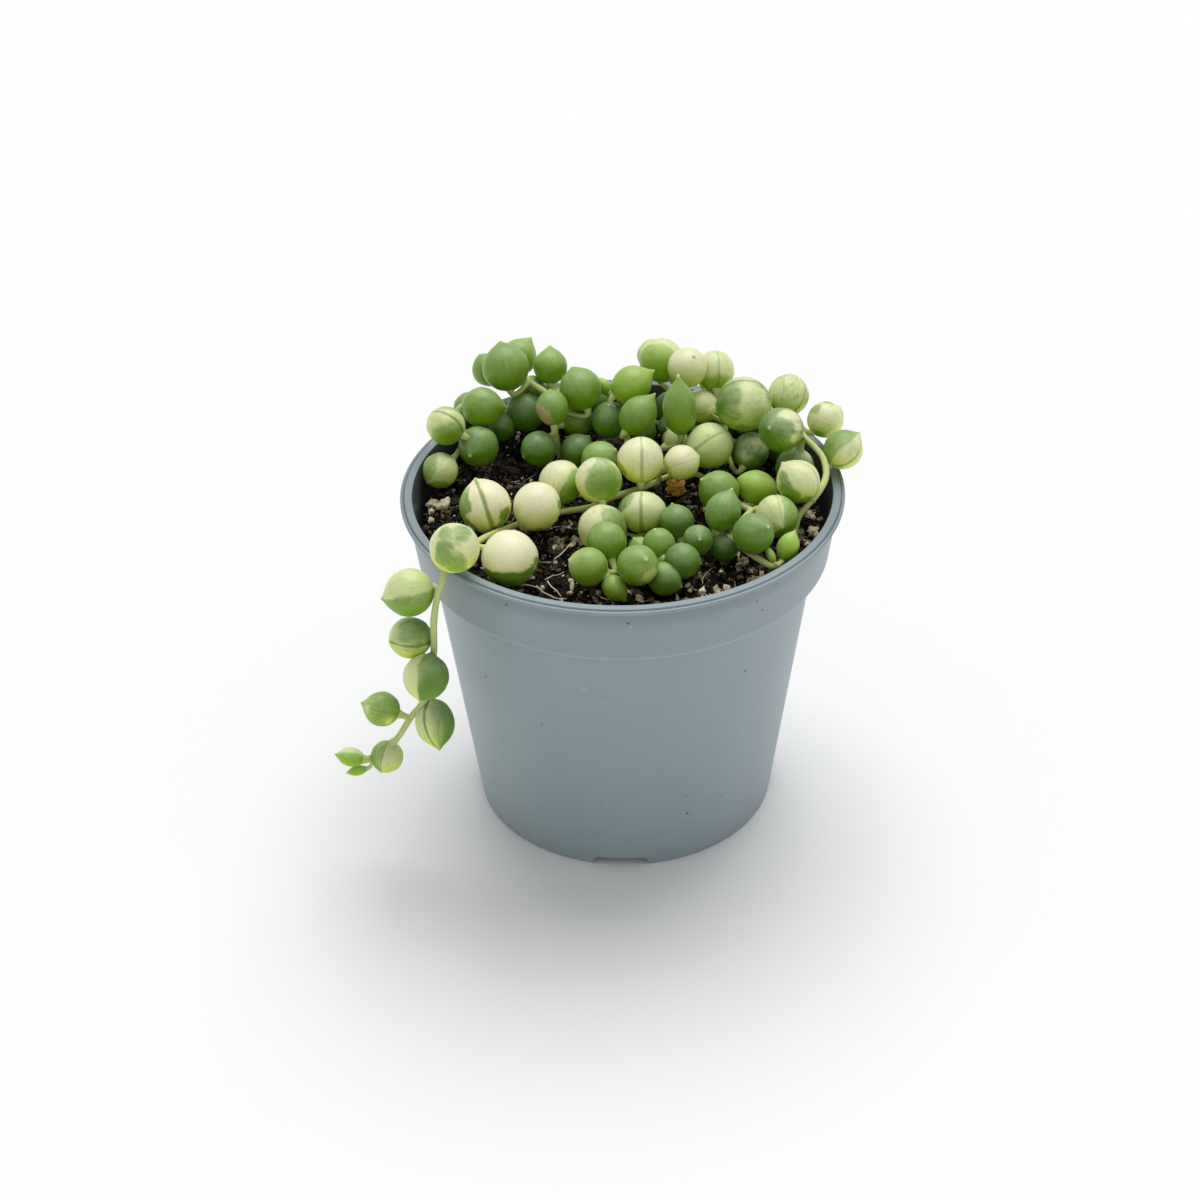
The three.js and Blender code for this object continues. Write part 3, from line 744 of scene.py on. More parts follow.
def pot_plastic(pot):
    """Satin blue-grey plastic with painted light and shade on collar, lip and inside, peat splashes, specks
    and faint scuffs.
    """
    graph = Graph("pot_plastic", Coat_Weight=0.08, Coat_Roughness=0.3, Specular_IOR_Level=0.5)
    cloud = graph.noise(90, 4)
    flow = graph.noise(60, 3, graph.stretched((6, 6, 0.6)))
    across, along, height = graph.parts(graph.place)
    radius = ((across - AXIS.x) ** 2 + (along - AXIS.y) ** 2).math("SQRT")
    base = graph.mix(cloud * 0.5 + flow * 0.35, tinted(pot.plastic, 0.94), tinted(pot.plastic, 1.08))
    base = lit_and_shaded_collar(graph, pot, base, cloud, along, height, radius)
    base = shaded_and_dirty_inside(graph, pot, base, cloud, height, radius)
    base = specked(graph, pot, base, across, along, height)
    grain = graph.noise(2600, 2)
    return graph.finish(
        Base_Color=base,
        Roughness=cloud * 0.1 + grain * 0.08 + (pot.roughness - 0.08),
        Normal=graph.bump(grain + flow * 0.6, 0.00002, 0.6),
    )


def lit_and_shaded_collar(graph, pot, base, cloud, along, height, radius):
    """Painted highlight at the step; painted shade in the lip's groove, on its edge and under it; collar
    and lip back darker.
    """
    rim = POT_HIGH.z
    step = AXIS.z + pot.step_height
    dark = tinted(pot.plastic, 0.5)
    # Painted highlight along the rounded edge of the step
    step_highlight = (0.16 * MM - abs(height - (step + 0.12 * MM))).above(0, 0.12 * MM)
    base = graph.mix(step_highlight * 0.3, base, pot.dust_and_highlight)
    on_lip = (height - (rim - pot.lip_height)).above(0, 0.05 * MM)
    off_groove = abs(radius - (pot.lip_radius - pot.lip_band * 0.75))
    # Painted shade in the lip's groove, only at the front
    groove = (pot.lip_band * 0.2 - off_groove).above(0, 0.1 * MM) * on_lip
    behind = (along - AXIS.y).above(-16 * MM, 12 * MM)
    base = graph.mix(groove * (1 - behind) * 0.08, base, tinted(pot.plastic, 0.4))
    # The lip darker in clouds towards its back
    base = graph.mix(behind * on_lip * (cloud * 0.3 + 0.1), base, pot.dirt_and_shade)
    # Painted shade on the lip's outer edge
    lip_edge_shade = (radius - (pot.lip_radius - pot.lip_band * 0.4)).above(0, 0.08 * MM) * on_lip
    base = graph.mix(lip_edge_shade * 0.1, base, dark)
    # Painted shade under the lip, and the collar a little darker all over
    under_lip = (height - (rim - 2.8 * MM)).above(0, 2.4 * MM) * (1 - on_lip)
    collar = (height - (step + 0.6 * MM)).above(0, 0.8 * MM) * (1 - on_lip)
    return graph.mix(under_lip * 0.34 + collar * 0.14, base, dark)


def shaded_and_dirty_inside(graph, pot, base, cloud, height, radius):
    """Painted shade over the collar's inner wall, which leans outwards to the mouth, darker in splashes of
    wet peat.
    """
    rim = POT_HIGH.z
    foot = AXIS.z + pot.step_height + pot.wall
    foot_radius = pot.collar_foot_radius - pot.wall
    wall_radius = (height - foot) * ((pot.lip_inner_radius - foot_radius) / (rim - foot)) + foot_radius
    inside = (wall_radius + 0.3 * MM - radius).above(0, 0.1 * MM) * (height - foot).above(0, 0.2 * MM)
    inside = inside * (1 - (height - (rim - 0.1 * MM)).above(0, 0.1 * MM))
    splashed = (cloud - 0.5) * 2.2 + ((rim - 1.2 * MM) - height) / (3.4 * MM)
    # Painted shade all over the inner wall, with darker peat splashes
    return graph.mix(inside * (splashed.above(0.2, 1.4) * 0.3 + 0.68), base, pot.dirt_and_shade)


def specked(graph, pot, base, across, along, height):
    """The collar's own dark specks, and a few more dark and pale ones and scuffs all over."""
    for x, z, size in COLLAR_SPECKS:
        off = ((across - AXIS.x - x * MM) ** 2 + (height - z * MM) ** 2).math("SQRT")
        spot = (size * MM - off).above(0, 0.1 * MM) * (AXIS.y - along).above(0, MM)
        base = graph.mix(spot * 0.8, base, pot.dirt_and_shade)
    near, (chance, size, _) = graph.cells(260)
    speck = (size * 0.06 + 0.02 - near).above(0, 0.02) * chance.above(0.8, 0.02)
    base = graph.mix(speck * 0.8, base, pot.dirt_and_shade)
    near_pale, (chance_pale, size_pale, _) = graph.cells(230, graph.stretched((1.1, 1.1, 0.9)))
    fleck = (size_pale * 0.06 + 0.02 - near_pale).above(0, 0.03) * chance_pale.above(0.8, 0.02)
    scuff = graph.noise(420, 2, graph.stretched((0.6, 0.6, 2.4)), 0.6).above(0.745, 0.03)
    return graph.mix(fleck * 0.25 + scuff * 0.3, base, pot.dust_and_highlight)


def tinted(screen, factor):
    """A setting's colour, made darker or lighter by that factor."""
    return (*[channel * factor for channel in screen[:3]], 1.0)


def leaf_wax(leaf):
    """A fleshy leaf's skin: cream and green sectors, a dark window line and a waxy coat; painted highlight
    and shade.
    """
    graph = Graph(
        "leaf_wax",
        Subsurface_Weight=0.45,
        Subsurface_Radius=(0.7, 1.0, 0.15),
        Subsurface_Scale=0.0025,
        Specular_IOR_Level=0.45,
        Coat_Weight=0.12,
        Coat_Roughness=0.22,
        Sheen_Weight=0.1,
        Sheen_Roughness=0.35,
    )
    x, y, z = graph.parts(graph.attribute("leaf_place").link("Vector"))
    tone, line, streaks = graph.parts(graph.attribute("leaf_green").link("Vector"))
    meridian = lengthwise(graph, x, y, z)
    fine = graph.noise(7, 3, meridian, 0.3)
    patch = graph.noise(520, 3)
    skin, cream_share = variegated(graph, leaf, meridian, fine, patch, tone, streaks)

    wander = y + (graph.noise(2, 2, meridian) - 0.5) * 0.1
    half_width = graph.noise(800, 2) * 0.1 + line * 0.06 - z * 0.03 - 0.035
    window = (half_width - abs(wander)).above(0, 0.1) * x.above(0, 0.25) * line.above(0.6, 1.2)
    skin = graph.mix(window, skin, graph.mix(1.0, skin, leaf.window, "MULTIPLY"))

    skin, wax_and_highlight = glow_shade_and_bloom(graph, leaf, skin, fine, cream_share)
    skin = graph.mix(z.above(0.995, 0.006) * 0.8, skin, leaf.pale)
    scar = graph.attribute("leaf_scar").value("Fac")
    corky = (scar + (graph.noise(1400, 3) - 0.5) * 0.5).above(0.3, 0.25)
    skin = graph.mix(corky * 0.85, skin, leaf.node)
    grain = graph.noise(2400, 3)
    return graph.finish(
        Base_Color=skin,
        Roughness=(leaf.roughness - 0.06) + wax_and_highlight * 0.15 + grain * 0.08,
        Normal=graph.bump(grain + patch * 0.6 - window * 1.5, 0.00003, 0.5),
    )


def lengthwise(graph, x, y, z):
    """A vector that hardly changes from a leaf's base to its tip, so noise on it runs in streaks."""
    around = (x * x + y * y).math("SQRT") + 0.05
    shift_x, shift_y, shift_z = graph.parts(graph.place)
    return graph.vector(x / around + shift_x * 40, y / around + shift_y * 40, z * 0.35 + shift_z * 40)


def variegated(graph, leaf, meridian, fine, patch, tone, streaks):
    """Cream and green sectors, each streaked with the other, and the cream's share of the skin."""
    side, fade, ragged = graph.parts(graph.attribute("leaf_cream").link("Vector"))
    broad = graph.noise(2.4, 3, meridian, 0.3)
    vein = graph.noise(17, 2, meridian, 0.2)
    border = side + (broad - 0.5) * ragged * 2 + (graph.noise(260, 3) - 0.5) * ragged * 3.5
    cream_share = border.above(0, streaks * 0.3 + 0.1)
    veil = border.above(-0.35, 1.0) * (fine.above(0.5, 0.4) * 0.5 + vein.above(0.5, 0.2) * 0.25 + 0.25)
    in_cream = fine.above(0.6, 0.14) * 0.6 + vein.above(0.58, 0.12) * 0.4 + broad.above(0.6, 0.14) * 0.5
    green = graph.mix(tone + (patch - 0.5) * 0.3 + (fine - 0.5) * 0.3, leaf.deep, leaf.lime)
    green = graph.mix(veil * (streaks * 0.8 + 0.1), green, leaf.pale)
    cream = graph.mix(fade + (patch - 0.5) * 0.4, leaf.cream, leaf.pale)
    cream = graph.mix(in_cream * streaks * 0.7, cream, tinted(leaf.lime, 0.8))
    return graph.mix(cream_share, green, cream), cream_share


def glow_shade_and_bloom(graph, leaf, skin, fine, cream_share):
    """Painted glow and shade on the undersides, a painted highlight with the waxy coat above, and that
    coat's share.
    """
    upward = graph.parts(graph.node("ShaderNodeNewGeometry").link("Normal"))[2]
    under = (upward * -1).above(0, 1.2)
    # Painted glow: lime added where the surface faces down, as light shining through the leaf
    skin = graph.mix(under * 0.15, skin, leaf.lime, "ADD")
    # Painted shade on the undersides
    skin = graph.mix(under * 0.8, skin, graph.mix(1.0, skin, leaf.underside_shade, "MULTIPLY"))
    # Painted highlight with the waxy coat on the upper sides
    wax_and_highlight = upward.above(0.5, 1.1) * (graph.noise(420, 3) * 0.5 + fine * 0.4)
    return graph.mix(wax_and_highlight * (0.5 - cream_share * 0.35), skin, leaf.bloom_and_highlight), wax_and_highlight


def stem_skin(leaf):
    """Pale green stem with faint lengthwise ribs, browner at the old joints."""
    graph = Graph("stem_skin", Subsurface_Weight=0.15, Subsurface_Scale=0.0006, Specular_IOR_Level=0.4)
    age = graph.attribute("stem_age").value("Fac")
    mottle = graph.noise(700, 3)
    fine = graph.noise(2200, 3, graph.stretched((1, 1, 0.4)))
    skin = graph.mix(mottle * 0.4, leaf.stem, leaf.lime)
    skin = graph.mix((age + (fine - 0.5) * 0.5).above(0.55, 0.5) * 0.7, skin, leaf.node)
    return graph.finish(
        Base_Color=skin,
        Roughness=fine * 0.2 + 0.42,
        Normal=graph.bump(fine, 0.00004, 0.5),
    )


def peat(soil):
    """Crumbly peat, browner where it has dried; darker in the hollows and at the back, painted shade."""
    graph = Graph("peat", Specular_IOR_Level=0.25)
    clump = graph.noise(350, 5)
    crumb = graph.noise(1500, 4)
    shade = graph.attribute("grain_shade").value("Fac")
    # Lighter where dried; darker in the bed's hollows and towards the back, painted shade
    dry = (clump * 0.5 + crumb * 0.5 + shade * 0.3 - back_shade(graph) * 0.12).above(0.72, 0.24)
    skin = graph.mix(dry, tinted(soil.peat, 0.35), soil.peat_light)
    near, (chance, _, _) = graph.cells(800)
    fleck = (0.32 - near).above(0, 0.1) * chance.above(0.9, 0.02)
    skin = graph.mix(fleck * 0.8, skin, soil.grain)
    return graph.finish(
        Base_Color=skin,
        Roughness=crumb * 0.2 + 0.7,
        Normal=graph.bump(clump + crumb * 0.7, 0.0003, 0.8),
    )


def back_shade(graph):
    """0 at the front of the soil and 1 at its back: painted shade of the leaves heaped over the back."""
    return (graph.parts(graph.place)[1] - AXIS.y).above(4 * MM, 30 * MM)


def bark(name, dark, light):
    """Rough bark or husk, each chip with a shade of its own."""
    graph = Graph(name, Specular_IOR_Level=0.3)
    grain = graph.noise(900, 4, None, 0.8)
    fibre = graph.noise(2600, 3)
    shade = graph.attribute("grain_shade").value("Fac")
    # Chips darker towards the back: painted shade of the leaves
    dry = (grain * 0.5 + fibre * 0.3 + shade * 0.5 - back_shade(graph) * 0.28).above(0.72, 0.36)
    skin = graph.mix(dry, dark, light)
    return graph.finish(
        Base_Color=skin,
        Roughness=fibre * 0.2 + 0.65,
        Normal=graph.bump(grain + fibre * 0.5, 0.00015, 0.8),
    )


def perlite(soil):
    """Porous cream grains with brown pits."""
    graph = Graph("perlite", Specular_IOR_Level=0.3, Subsurface_Weight=0.1, Subsurface_Scale=0.0005)
    pits = graph.noise(1900, 4)
    shade = graph.attribute("grain_shade").value("Fac")
    skin = graph.mix((pits + shade * 0.2).above(0.62, 0.2) * 0.7, soil.grain, soil.bark_light)
    return graph.finish(
        Base_Color=skin, Roughness=pits * 0.2 + 0.7, Normal=graph.bump(pits, 0.0002, 0.8)
    )


def root_fibre(soil):
    """Thin dry roots, cream to brown."""
    graph = Graph("root_fibre", Specular_IOR_Level=0.35)
    age = graph.noise(160, 2)
    skin = graph.mix(age.above(0.58, 0.16), soil.fibre, soil.bark_dark)
    return graph.finish(Base_Color=skin, Roughness=graph.noise(3000, 2) * 0.2 + 0.55)


# ---------------------------------------------------------------------------------------------
# Mesh helpers
# ---------------------------------------------------------------------------------------------


def at(x, y, z):
    """A place given in mm from the pot's axis, in the frame's metres."""
    return AXIS + Vector((x, y, z)) * MM


def seen(direction):
    """A direction of the photograph, (right, up, nearer), as a direction of the model."""
    right, up, nearer = direction
    return (VIEW_RIGHT * right + VIEW_UP * up + VIEW_NEAR * nearer).normalized()


def mesh_of(bm, name):
    """The bmesh as a mesh. The bmesh is freed."""
    mesh = bpy.data.meshes.new(name)
    bm.to_mesh(mesh)
    bm.free()
    return mesh


def placed(name, data):
    """A new object of the scene with that data."""
    thing = bpy.data.objects.new(name, data)
    bpy.context.scene.collection.objects.link(thing)
    return thing


def outlined(bm, points):
    """A line through the points, each a radius and a height, in the XZ plane. Returns its vertices."""
    verts = [bm.verts.new((radius, 0, height)) for radius, height in points]
    for first, second in zip(verts, verts[1:]):
        bm.edges.new((first, second))
    return verts


def turned(bm, steps, tolerance=0.001 * MM):
    """Turns the outline all round Z to a closed skin that faces outwards."""
    bmesh.ops.spin(
        bm, geom=bm.verts[:] + bm.edges[:], cent=(0, 0, 0), axis=(0, 0, 1), angle=math.tau,
        steps=steps, use_merge=True,
    )
    bmesh.ops.remove_doubles(bm, verts=bm.verts[:], dist=tolerance)
    bmesh.ops.recalc_face_normals(bm, faces=bm.faces[:])


def finished(bm, name, materials, slot, node=None, smooth=True):
    """The bmesh as a piece of the plant, riding on its body."""
    mesh = mesh_of(bm, name)
    for material in materials:
        mesh.materials.append(material)
    if smooth:
        mesh.shade_smooth()
    piece = placed(name, mesh)
    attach(piece, BODY)
    if node:
        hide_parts(node)
    return piece


def smooth_route(points, step):
    """Points about a step apart on a smooth curve through the given ones, in metres."""
    knots = [at(*point) for point in points]
    route = [knots[0]]
    for index in range(len(knots) - 1):
        here, there = knots[index], knots[index + 1]
        before = knots[max(index - 1, 0)]
        after = knots[min(index + 2, len(knots) - 1)]
        leave = here + (there - before) / 6
        arrive = there - (after - here) / 6
        pieces = max(2, round((there - here).length / step) + 1)
        route += interpolate_bezier(here, leave, arrive, there, pieces)[1:]
    return route


def tube(bm, route, radii, sides):
    """A closed tube along the route, made by extruding a ring. Returns its new vertices by ring."""
    heading = (route[1] - route[0]).normalized()
    turn = Vector((0, 0, 1)).rotation_difference(heading).to_matrix().to_4x4()
    ring = bmesh.ops.create_circle(
        bm, segments=sides, radius=radii[0], cap_ends=True, matrix=Matrix.Translation(route[0]) @ turn
    )["verts"]
    rings = [ring]
    edges = list(dict.fromkeys(edge for vert in ring for edge in vert.link_edges))
    for index in range(1, len(route)):
        if index < len(route) - 1:
            new_heading = (route[index + 1] - route[index - 1]).normalized()
        else:
            new_heading = (route[index] - route[index - 1]).normalized()
        grown = bmesh.ops.extrude_edge_only(bm, edges=edges)["geom"]
        ring = [item for item in grown if isinstance(item, bmesh.types.BMVert)]
        edges = [item for item in grown if isinstance(item, bmesh.types.BMEdge)]
        turn = heading.rotation_difference(new_heading).to_matrix().to_4x4()
        scale = Matrix.Scale(radii[index] / radii[index - 1], 4)
        move = Matrix.Translation(route[index]) @ turn @ scale @ Matrix.Translation(-route[index - 1])
        bmesh.ops.transform(bm, matrix=move, verts=ring)
        heading = new_heading
        rings.append(ring)
    bmesh.ops.edgeloop_fill(bm, edges=edges)
    return rings


def grain_form(detail):
    """A round grain of radius 1, which lumps are copied from."""
    bm = bmesh.new()
    bmesh.ops.create_icosphere(bm, subdivisions=detail, radius=1)
    return mesh_of(bm, "grain_form")


def grain_bed():
    """An empty bmesh for grains that each have a shade."""
    bm = bmesh.new()
    bm.verts.layers.float.new("grain_shade")
    return bm


def lump(bm, form, centre, size, turn, rng, roughness, shade):
    """A rough grain: the form pushed in and out by noise, turned, set in place and shaded."""
    layer = bm.verts.layers.float["grain_shade"]
    start = len(bm.verts)
    bm.from_mesh(form, face_normals=False, vertex_normals=False)
    bm.verts.ensure_lookup_table()
    shift = Vector((rng.uniform(-50, 50), rng.uniform(-50, 50), rng.uniform(-50, 50)))
    place = Matrix.Translation(centre) @ turn @ Matrix.Diagonal((*size, 1))
    for vert in bm.verts[start:]:
        vert.co = place @ (vert.co * (1 + roughness * noise.noise(vert.co * 1.6 + shift)))
        vert[layer] = shade


def random_turn(rng, tilt):
    """A random heading, tilted from the level by up to that many degrees."""
    spin = Matrix.Rotation(rng.uniform(0, math.tau), 4, "Z")
    lean = Matrix.Rotation(math.radians(rng.uniform(-tilt, tilt)), 4, "X")
    roll = Matrix.Rotation(math.radians(rng.uniform(-tilt, tilt)), 4, "Y")
    return spin @ lean @ roll


# ---------------------------------------------------------------------------------------------
# Pot
# ---------------------------------------------------------------------------------------------


def pot_profile(bm, pot):
    """The pot's wall as a closed outline in the XZ plane: radius, height and rounding."""
    floor_top = pot.foot_height + pot.floor
    slope = (pot.wall_top_radius - pot.base_radius) / pot.step_height
    rim = POT_HIGH.z - POT_LOW.z
    outline = (
        (0, pot.foot_height, 0),
        (pot.base_radius - pot.foot_width, pot.foot_height, 0),
        (pot.base_radius - pot.foot_width, 0, pot.edge),
        (pot.base_radius, 0, pot.edge),
        (pot.wall_top_radius, pot.step_height, pot.edge),
        (pot.collar_foot_radius, pot.step_height, pot.edge),
        (pot.collar_top_radius, rim - pot.lip_height - pot.fine_edge, pot.fine_edge),
        (pot.lip_radius, rim - pot.lip_height, pot.fine_edge),
        (pot.lip_radius, rim - pot.lip_fall, pot.fine_edge),
        (pot.lip_radius - pot.lip_band * 0.55, rim - pot.lip_fall, 0),
        (pot.lip_radius - pot.lip_band * 0.75, rim - pot.lip_fall * 2, 0),
        (pot.lip_radius - pot.lip_band, rim, 0),
        (pot.lip_inner_radius, rim, pot.fine_edge),
        (pot.collar_foot_radius - pot.wall, pot.step_height + pot.wall, pot.edge),
        (pot.wall_top_radius - pot.wall, pot.step_height + pot.wall, pot.edge),
        (pot.base_radius + slope * floor_top - pot.wall, floor_top, pot.edge),
        (0, floor_top, 0),
    )
    verts = outlined(bm, [(radius, height) for radius, height, _ in outline])
    for size in (pot.edge, pot.fine_edge):
        corners = [vert for vert, (_, _, rounding) in zip(verts, outline) if rounding == size]
        bmesh.ops.bevel(
            bm, geom=corners, offset=size, offset_type="OFFSET", segments=4, profile=0.5,
            affect="VERTICES", material=-1, clamp_overlap=True,
        )


def notch_cutters(pot):
    """Bars that cut the drainage notches, and as many rods that cut the drain holes."""
    bm = bmesh.new()
    reach = pot.foot_width * 3
    for index in range(NOTCHES):
        turn = Matrix.Rotation(math.radians(FIRST_NOTCH + 360 / NOTCHES * index), 4, "Z")
        bar = bmesh.ops.create_cube(bm, size=1)["verts"]
        for vert in bar:
            top = vert.co.z > 0
            vert.co.x = pot.base_radius - pot.foot_width / 2 + vert.co.x * reach
            vert.co.y *= pot.notch_top if top else pot.notch_foot
            vert.co.z = pot.notch_height if top else -pot.notch_height
        upper = {vert for vert in bar if vert.co.z > 0}
        along = [
            edge
            for edge in bm.edges
            if upper.issuperset(edge.verts) and abs(edge.verts[0].co.y - edge.verts[1].co.y) < MM
        ]
        rounded = bmesh.ops.bevel(
            bm, geom=along, offset=pot.edge * 2, offset_type="OFFSET", segments=5, profile=0.5,
            affect="EDGES", material=-1,
        )["verts"]
        bar = list({*[vert for vert in bar if vert.is_valid], *rounded})
        bmesh.ops.rotate(bm, cent=(0, 0, 0), matrix=turn, verts=bar)
        bmesh.ops.create_cone(
            bm, cap_ends=True, segments=40, radius1=pot.drain_radius, radius2=pot.drain_radius,
            depth=pot.foot_height * 6, matrix=turn @ Matrix.Translation((pot.drain_ring, 0, 0)),
        )
    bmesh.ops.recalc_face_normals(bm, faces=bm.faces[:])
    bmesh.ops.translate(bm, vec=AXIS, verts=bm.verts[:])
    return placed("notch_cutters", mesh_of(bm, "notch_cutters"))


def cut(piece, cutter):
    """Cuts the piece by the cutter for good, and removes the cutter."""
    modifier = piece.modifiers.new("cut", "BOOLEAN")
    modifier.operation = "DIFFERENCE"
    modifier.solver = "EXACT"
    modifier.object = cutter
    bpy.context.view_layer.update()
    graph = bpy.context.evaluated_depsgraph_get()
    mesh = bpy.data.meshes.new_from_object(piece.evaluated_get(graph))
    piece.modifiers.clear()
    piece.data = mesh
    bpy.data.objects.remove(cutter)


class PEARLS_OT_add_pot(bpy.types.Operator):
    """Add the moulded nursery pot"""

    bl_idname = "pearls.add_pot"
    bl_label = "Add Pot"

    def execute(self, context):
        pot = context.scene.pearls.pot
        bm = bmesh.new()
        pot_profile(bm, pot)
        turned(bm, POT_STEPS)
        bmesh.ops.translate(bm, vec=AXIS, verts=bm.verts[:])
        piece = finished(bm, "nursery_pot", [pot_plastic(pot)], "pot_plastic", "pot")
        cut(piece, notch_cutters(pot))
        piece.data.shade_smooth()
        piece.data.set_sharp_from_angle(angle=math.radians(50))
        return {"FINISHED"}


# ---------------------------------------------------------------------------------------------
# Soil
# ---------------------------------------------------------------------------------------------


def soil_top(x, y):
    """The soil's height in mm at a place, heaped a little in the middle."""
    crown = SOIL_CROWN * (1 - (x * x + y * y) / SOIL_EDGE**2)
    heap = noise.noise(Vector((x, y, 0)) * 0.16) * 0.8
    clod = noise.noise(Vector((x, y, 7)) * 0.55) * 0.45
    return SOIL_LEVEL + crown + heap + clod


def scattered(rng, total):
    """Random places on the soil, evenly spread, in mm."""
    for _ in range(total):
        radius = CRUMB_EDGE * math.sqrt(rng.random())
        angle = rng.uniform(0, math.tau)
        yield radius * math.cos(angle), radius * math.sin(angle)


class PEARLS_OT_add_soil(bpy.types.Operator):
    """Add the bed of peat that fills the pot"""

    bl_idname = "pearls.add_soil"
    bl_label = "Add Soil"

    def execute(self, context):
        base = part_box("soil")[0].z - AXIS.z
        pot = context.scene.pearls.pot
        step = pot.step_height + pot.wall
        gap = 0.3 * MM
        shoulder = pot.wall_top_radius - pot.wall - gap
        foot = shoulder - (pot.wall_top_radius - pot.base_radius) * (1 - base / pot.step_height)
        bm = bmesh.new()
        outline = [
            (0, base),
            (foot, base),
            (shoulder, step + gap),
            (SOIL_EDGE * MM - 2 * gap, step + gap),
        ]
        for ring in range(BED_RINGS + 1):
            outline.append((SOIL_EDGE * MM * (1 - ring / BED_RINGS), SOIL_LEVEL * MM))
        outlined(bm, outline)
        turned(bm, BED_STEPS)
        shade = bm.verts.layers.float.new("grain_shade")
        for vert in bm.verts:
            if vert.co.z > (SOIL_LEVEL - 0.5) * MM:
                x, y = vert.co.x / MM, vert.co.y / MM
                # Low spots of the bed get a low shade, which the peat paints darker: painted shade in the
                # hollows
                crumb = noise.turbulence(Vector((x, y, 3)) * 1.4, 4, False)
                vert.co.z = (soil_top(x, y) + crumb * 0.8 - 0.3) * MM
                vert[shade] = min(1, max(0, crumb * 1.6 - 0.4))
        bmesh.ops.translate(bm, vec=AXIS, verts=bm.verts[:])
        finished(bm, "peat_bed", [peat(context.scene.pearls.soil)], "peat_soil", "soil")
        return {"FINISHED"}


def add_peat_crumbs(soil, rng, form):
    """Loose crumbs of peat, most of them fine."""
    bm = grain_bed()
    for x, y in scattered(rng, soil.crumbs):
        width = (0.13 + 0.6 * rng.random() ** 3) * MM
        size = (width * rng.uniform(0.7, 1.9), width * rng.uniform(0.5, 1), width * rng.uniform(0.4, 0.9))
        height = soil_top(x, y) + rng.uniform(0, 0.7)
        lump(bm, form, at(x, y, height), size, random_turn(rng, 90), rng, 0.7, rng.random())
    finished(bm, "peat_crumbs", [peat(soil)], "peat_soil", smooth=False)


def add_known_lumps(bm, form, lumps, lift, roughness, rng):
    """The single lumps that stand where the photograph has them, that many mm over the soil."""
    for x, y, width, shade in lumps:
        size = Vector((width, width * 0.8, width * 0.7)) * MM
        lump(bm, form, at(x, y, soil_top(x, y) + lift), size, random_turn(rng, 60), rng, roughness, shade)


def add_bark_chips(soil, rng, form, fine_form):
    """Flat chips of bark, and the known brown lumps."""
    bm = grain_bed()
    for x, y in scattered(rng, soil.bark):
        size = Vector((rng.uniform(0.4, 1.4), rng.uniform(0.2, 0.5), rng.uniform(0.1, 0.28))) * MM
        height = soil_top(x, y) + rng.uniform(0.3, 0.9)
        lump(bm, form, at(x, y, height), size, random_turn(rng, 35), rng, 0.9, rng.random())
    add_known_lumps(bm, fine_form, BROWN_LUMPS, 0.6, 1.1, rng)
    chips = bark("bark", soil.bark_dark, soil.bark_light)
    finished(bm, "bark_chips", [chips], "peat_soil", smooth=False)


def add_perlite_grains(soil, rng, form, fine_form):
    """Pale perlite grains, most of them tiny, and the known white lumps."""
    bm = grain_bed()
    for x, y in scattered(rng, soil.perlite):
        width = 0.07 + 0.42 * rng.random() ** 5
        size = Vector([width * rng.uniform(0.7, 1.2) * MM for _ in range(3)])
        height = soil_top(x, y) + rng.uniform(0.4, 0.9)
        lump(bm, form, at(x, y, height), size, random_turn(rng, 90), rng, 0.7, rng.random())
    add_known_lumps(bm, fine_form, PERLITE_LUMPS, 0.9, 0.9, rng)
    finished(bm, "perlite_grains", [perlite(soil)], "peat_soil")


def add_husk(soil, rng, form):
    """The dry orange husk, its flakes turned round each other as in a bud."""
    bm = grain_bed()
    x, y = HUSK
    for flake in range(HUSK_FLAKES):
        turn = math.tau * flake * HUSK_TURN
        size = Vector((rng.uniform(0.6, 0.9), rng.uniform(0.5, 0.8), 0.34)) * MM
        height = SOIL_LEVEL + 1.2 + 0.15 * flake
        place = at(x + 0.75 * math.cos(turn), y + 0.75 * math.sin(turn), height)
        petal = Matrix.Rotation(turn, 4, "Z") @ Matrix.Rotation(-0.9, 4, "Y")
        lump(bm, form, place, size, petal, rng, 0.5, rng.uniform(0.5, 1))
    husk = bark("husk", tinted(soil.husk, 0.7), soil.husk)
    finished(bm, "dry_husk", [husk], "peat_soil")


class PEARLS_OT_add_crumbs(bpy.types.Operator):
    """Add the loose crumbs, bark chips, perlite and husk that lie on the soil"""

    bl_idname = "pearls.add_crumbs"
    bl_label = "Add Crumbs"

    def execute(self, context):
        soil = context.scene.pearls.soil
        rng = random.Random(CRUMB_SEED)
        forms = [grain_form(detail) for detail in (1, 2, 3)]
        coarse, middling, fine = forms
        add_peat_crumbs(soil, rng, coarse)
        add_bark_chips(soil, rng, middling, fine)
        add_perlite_grains(soil, rng, middling, fine)
        add_husk(soil, rng, fine)
        for form in forms:
            bpy.data.meshes.remove(form)
        return {"FINISHED"}


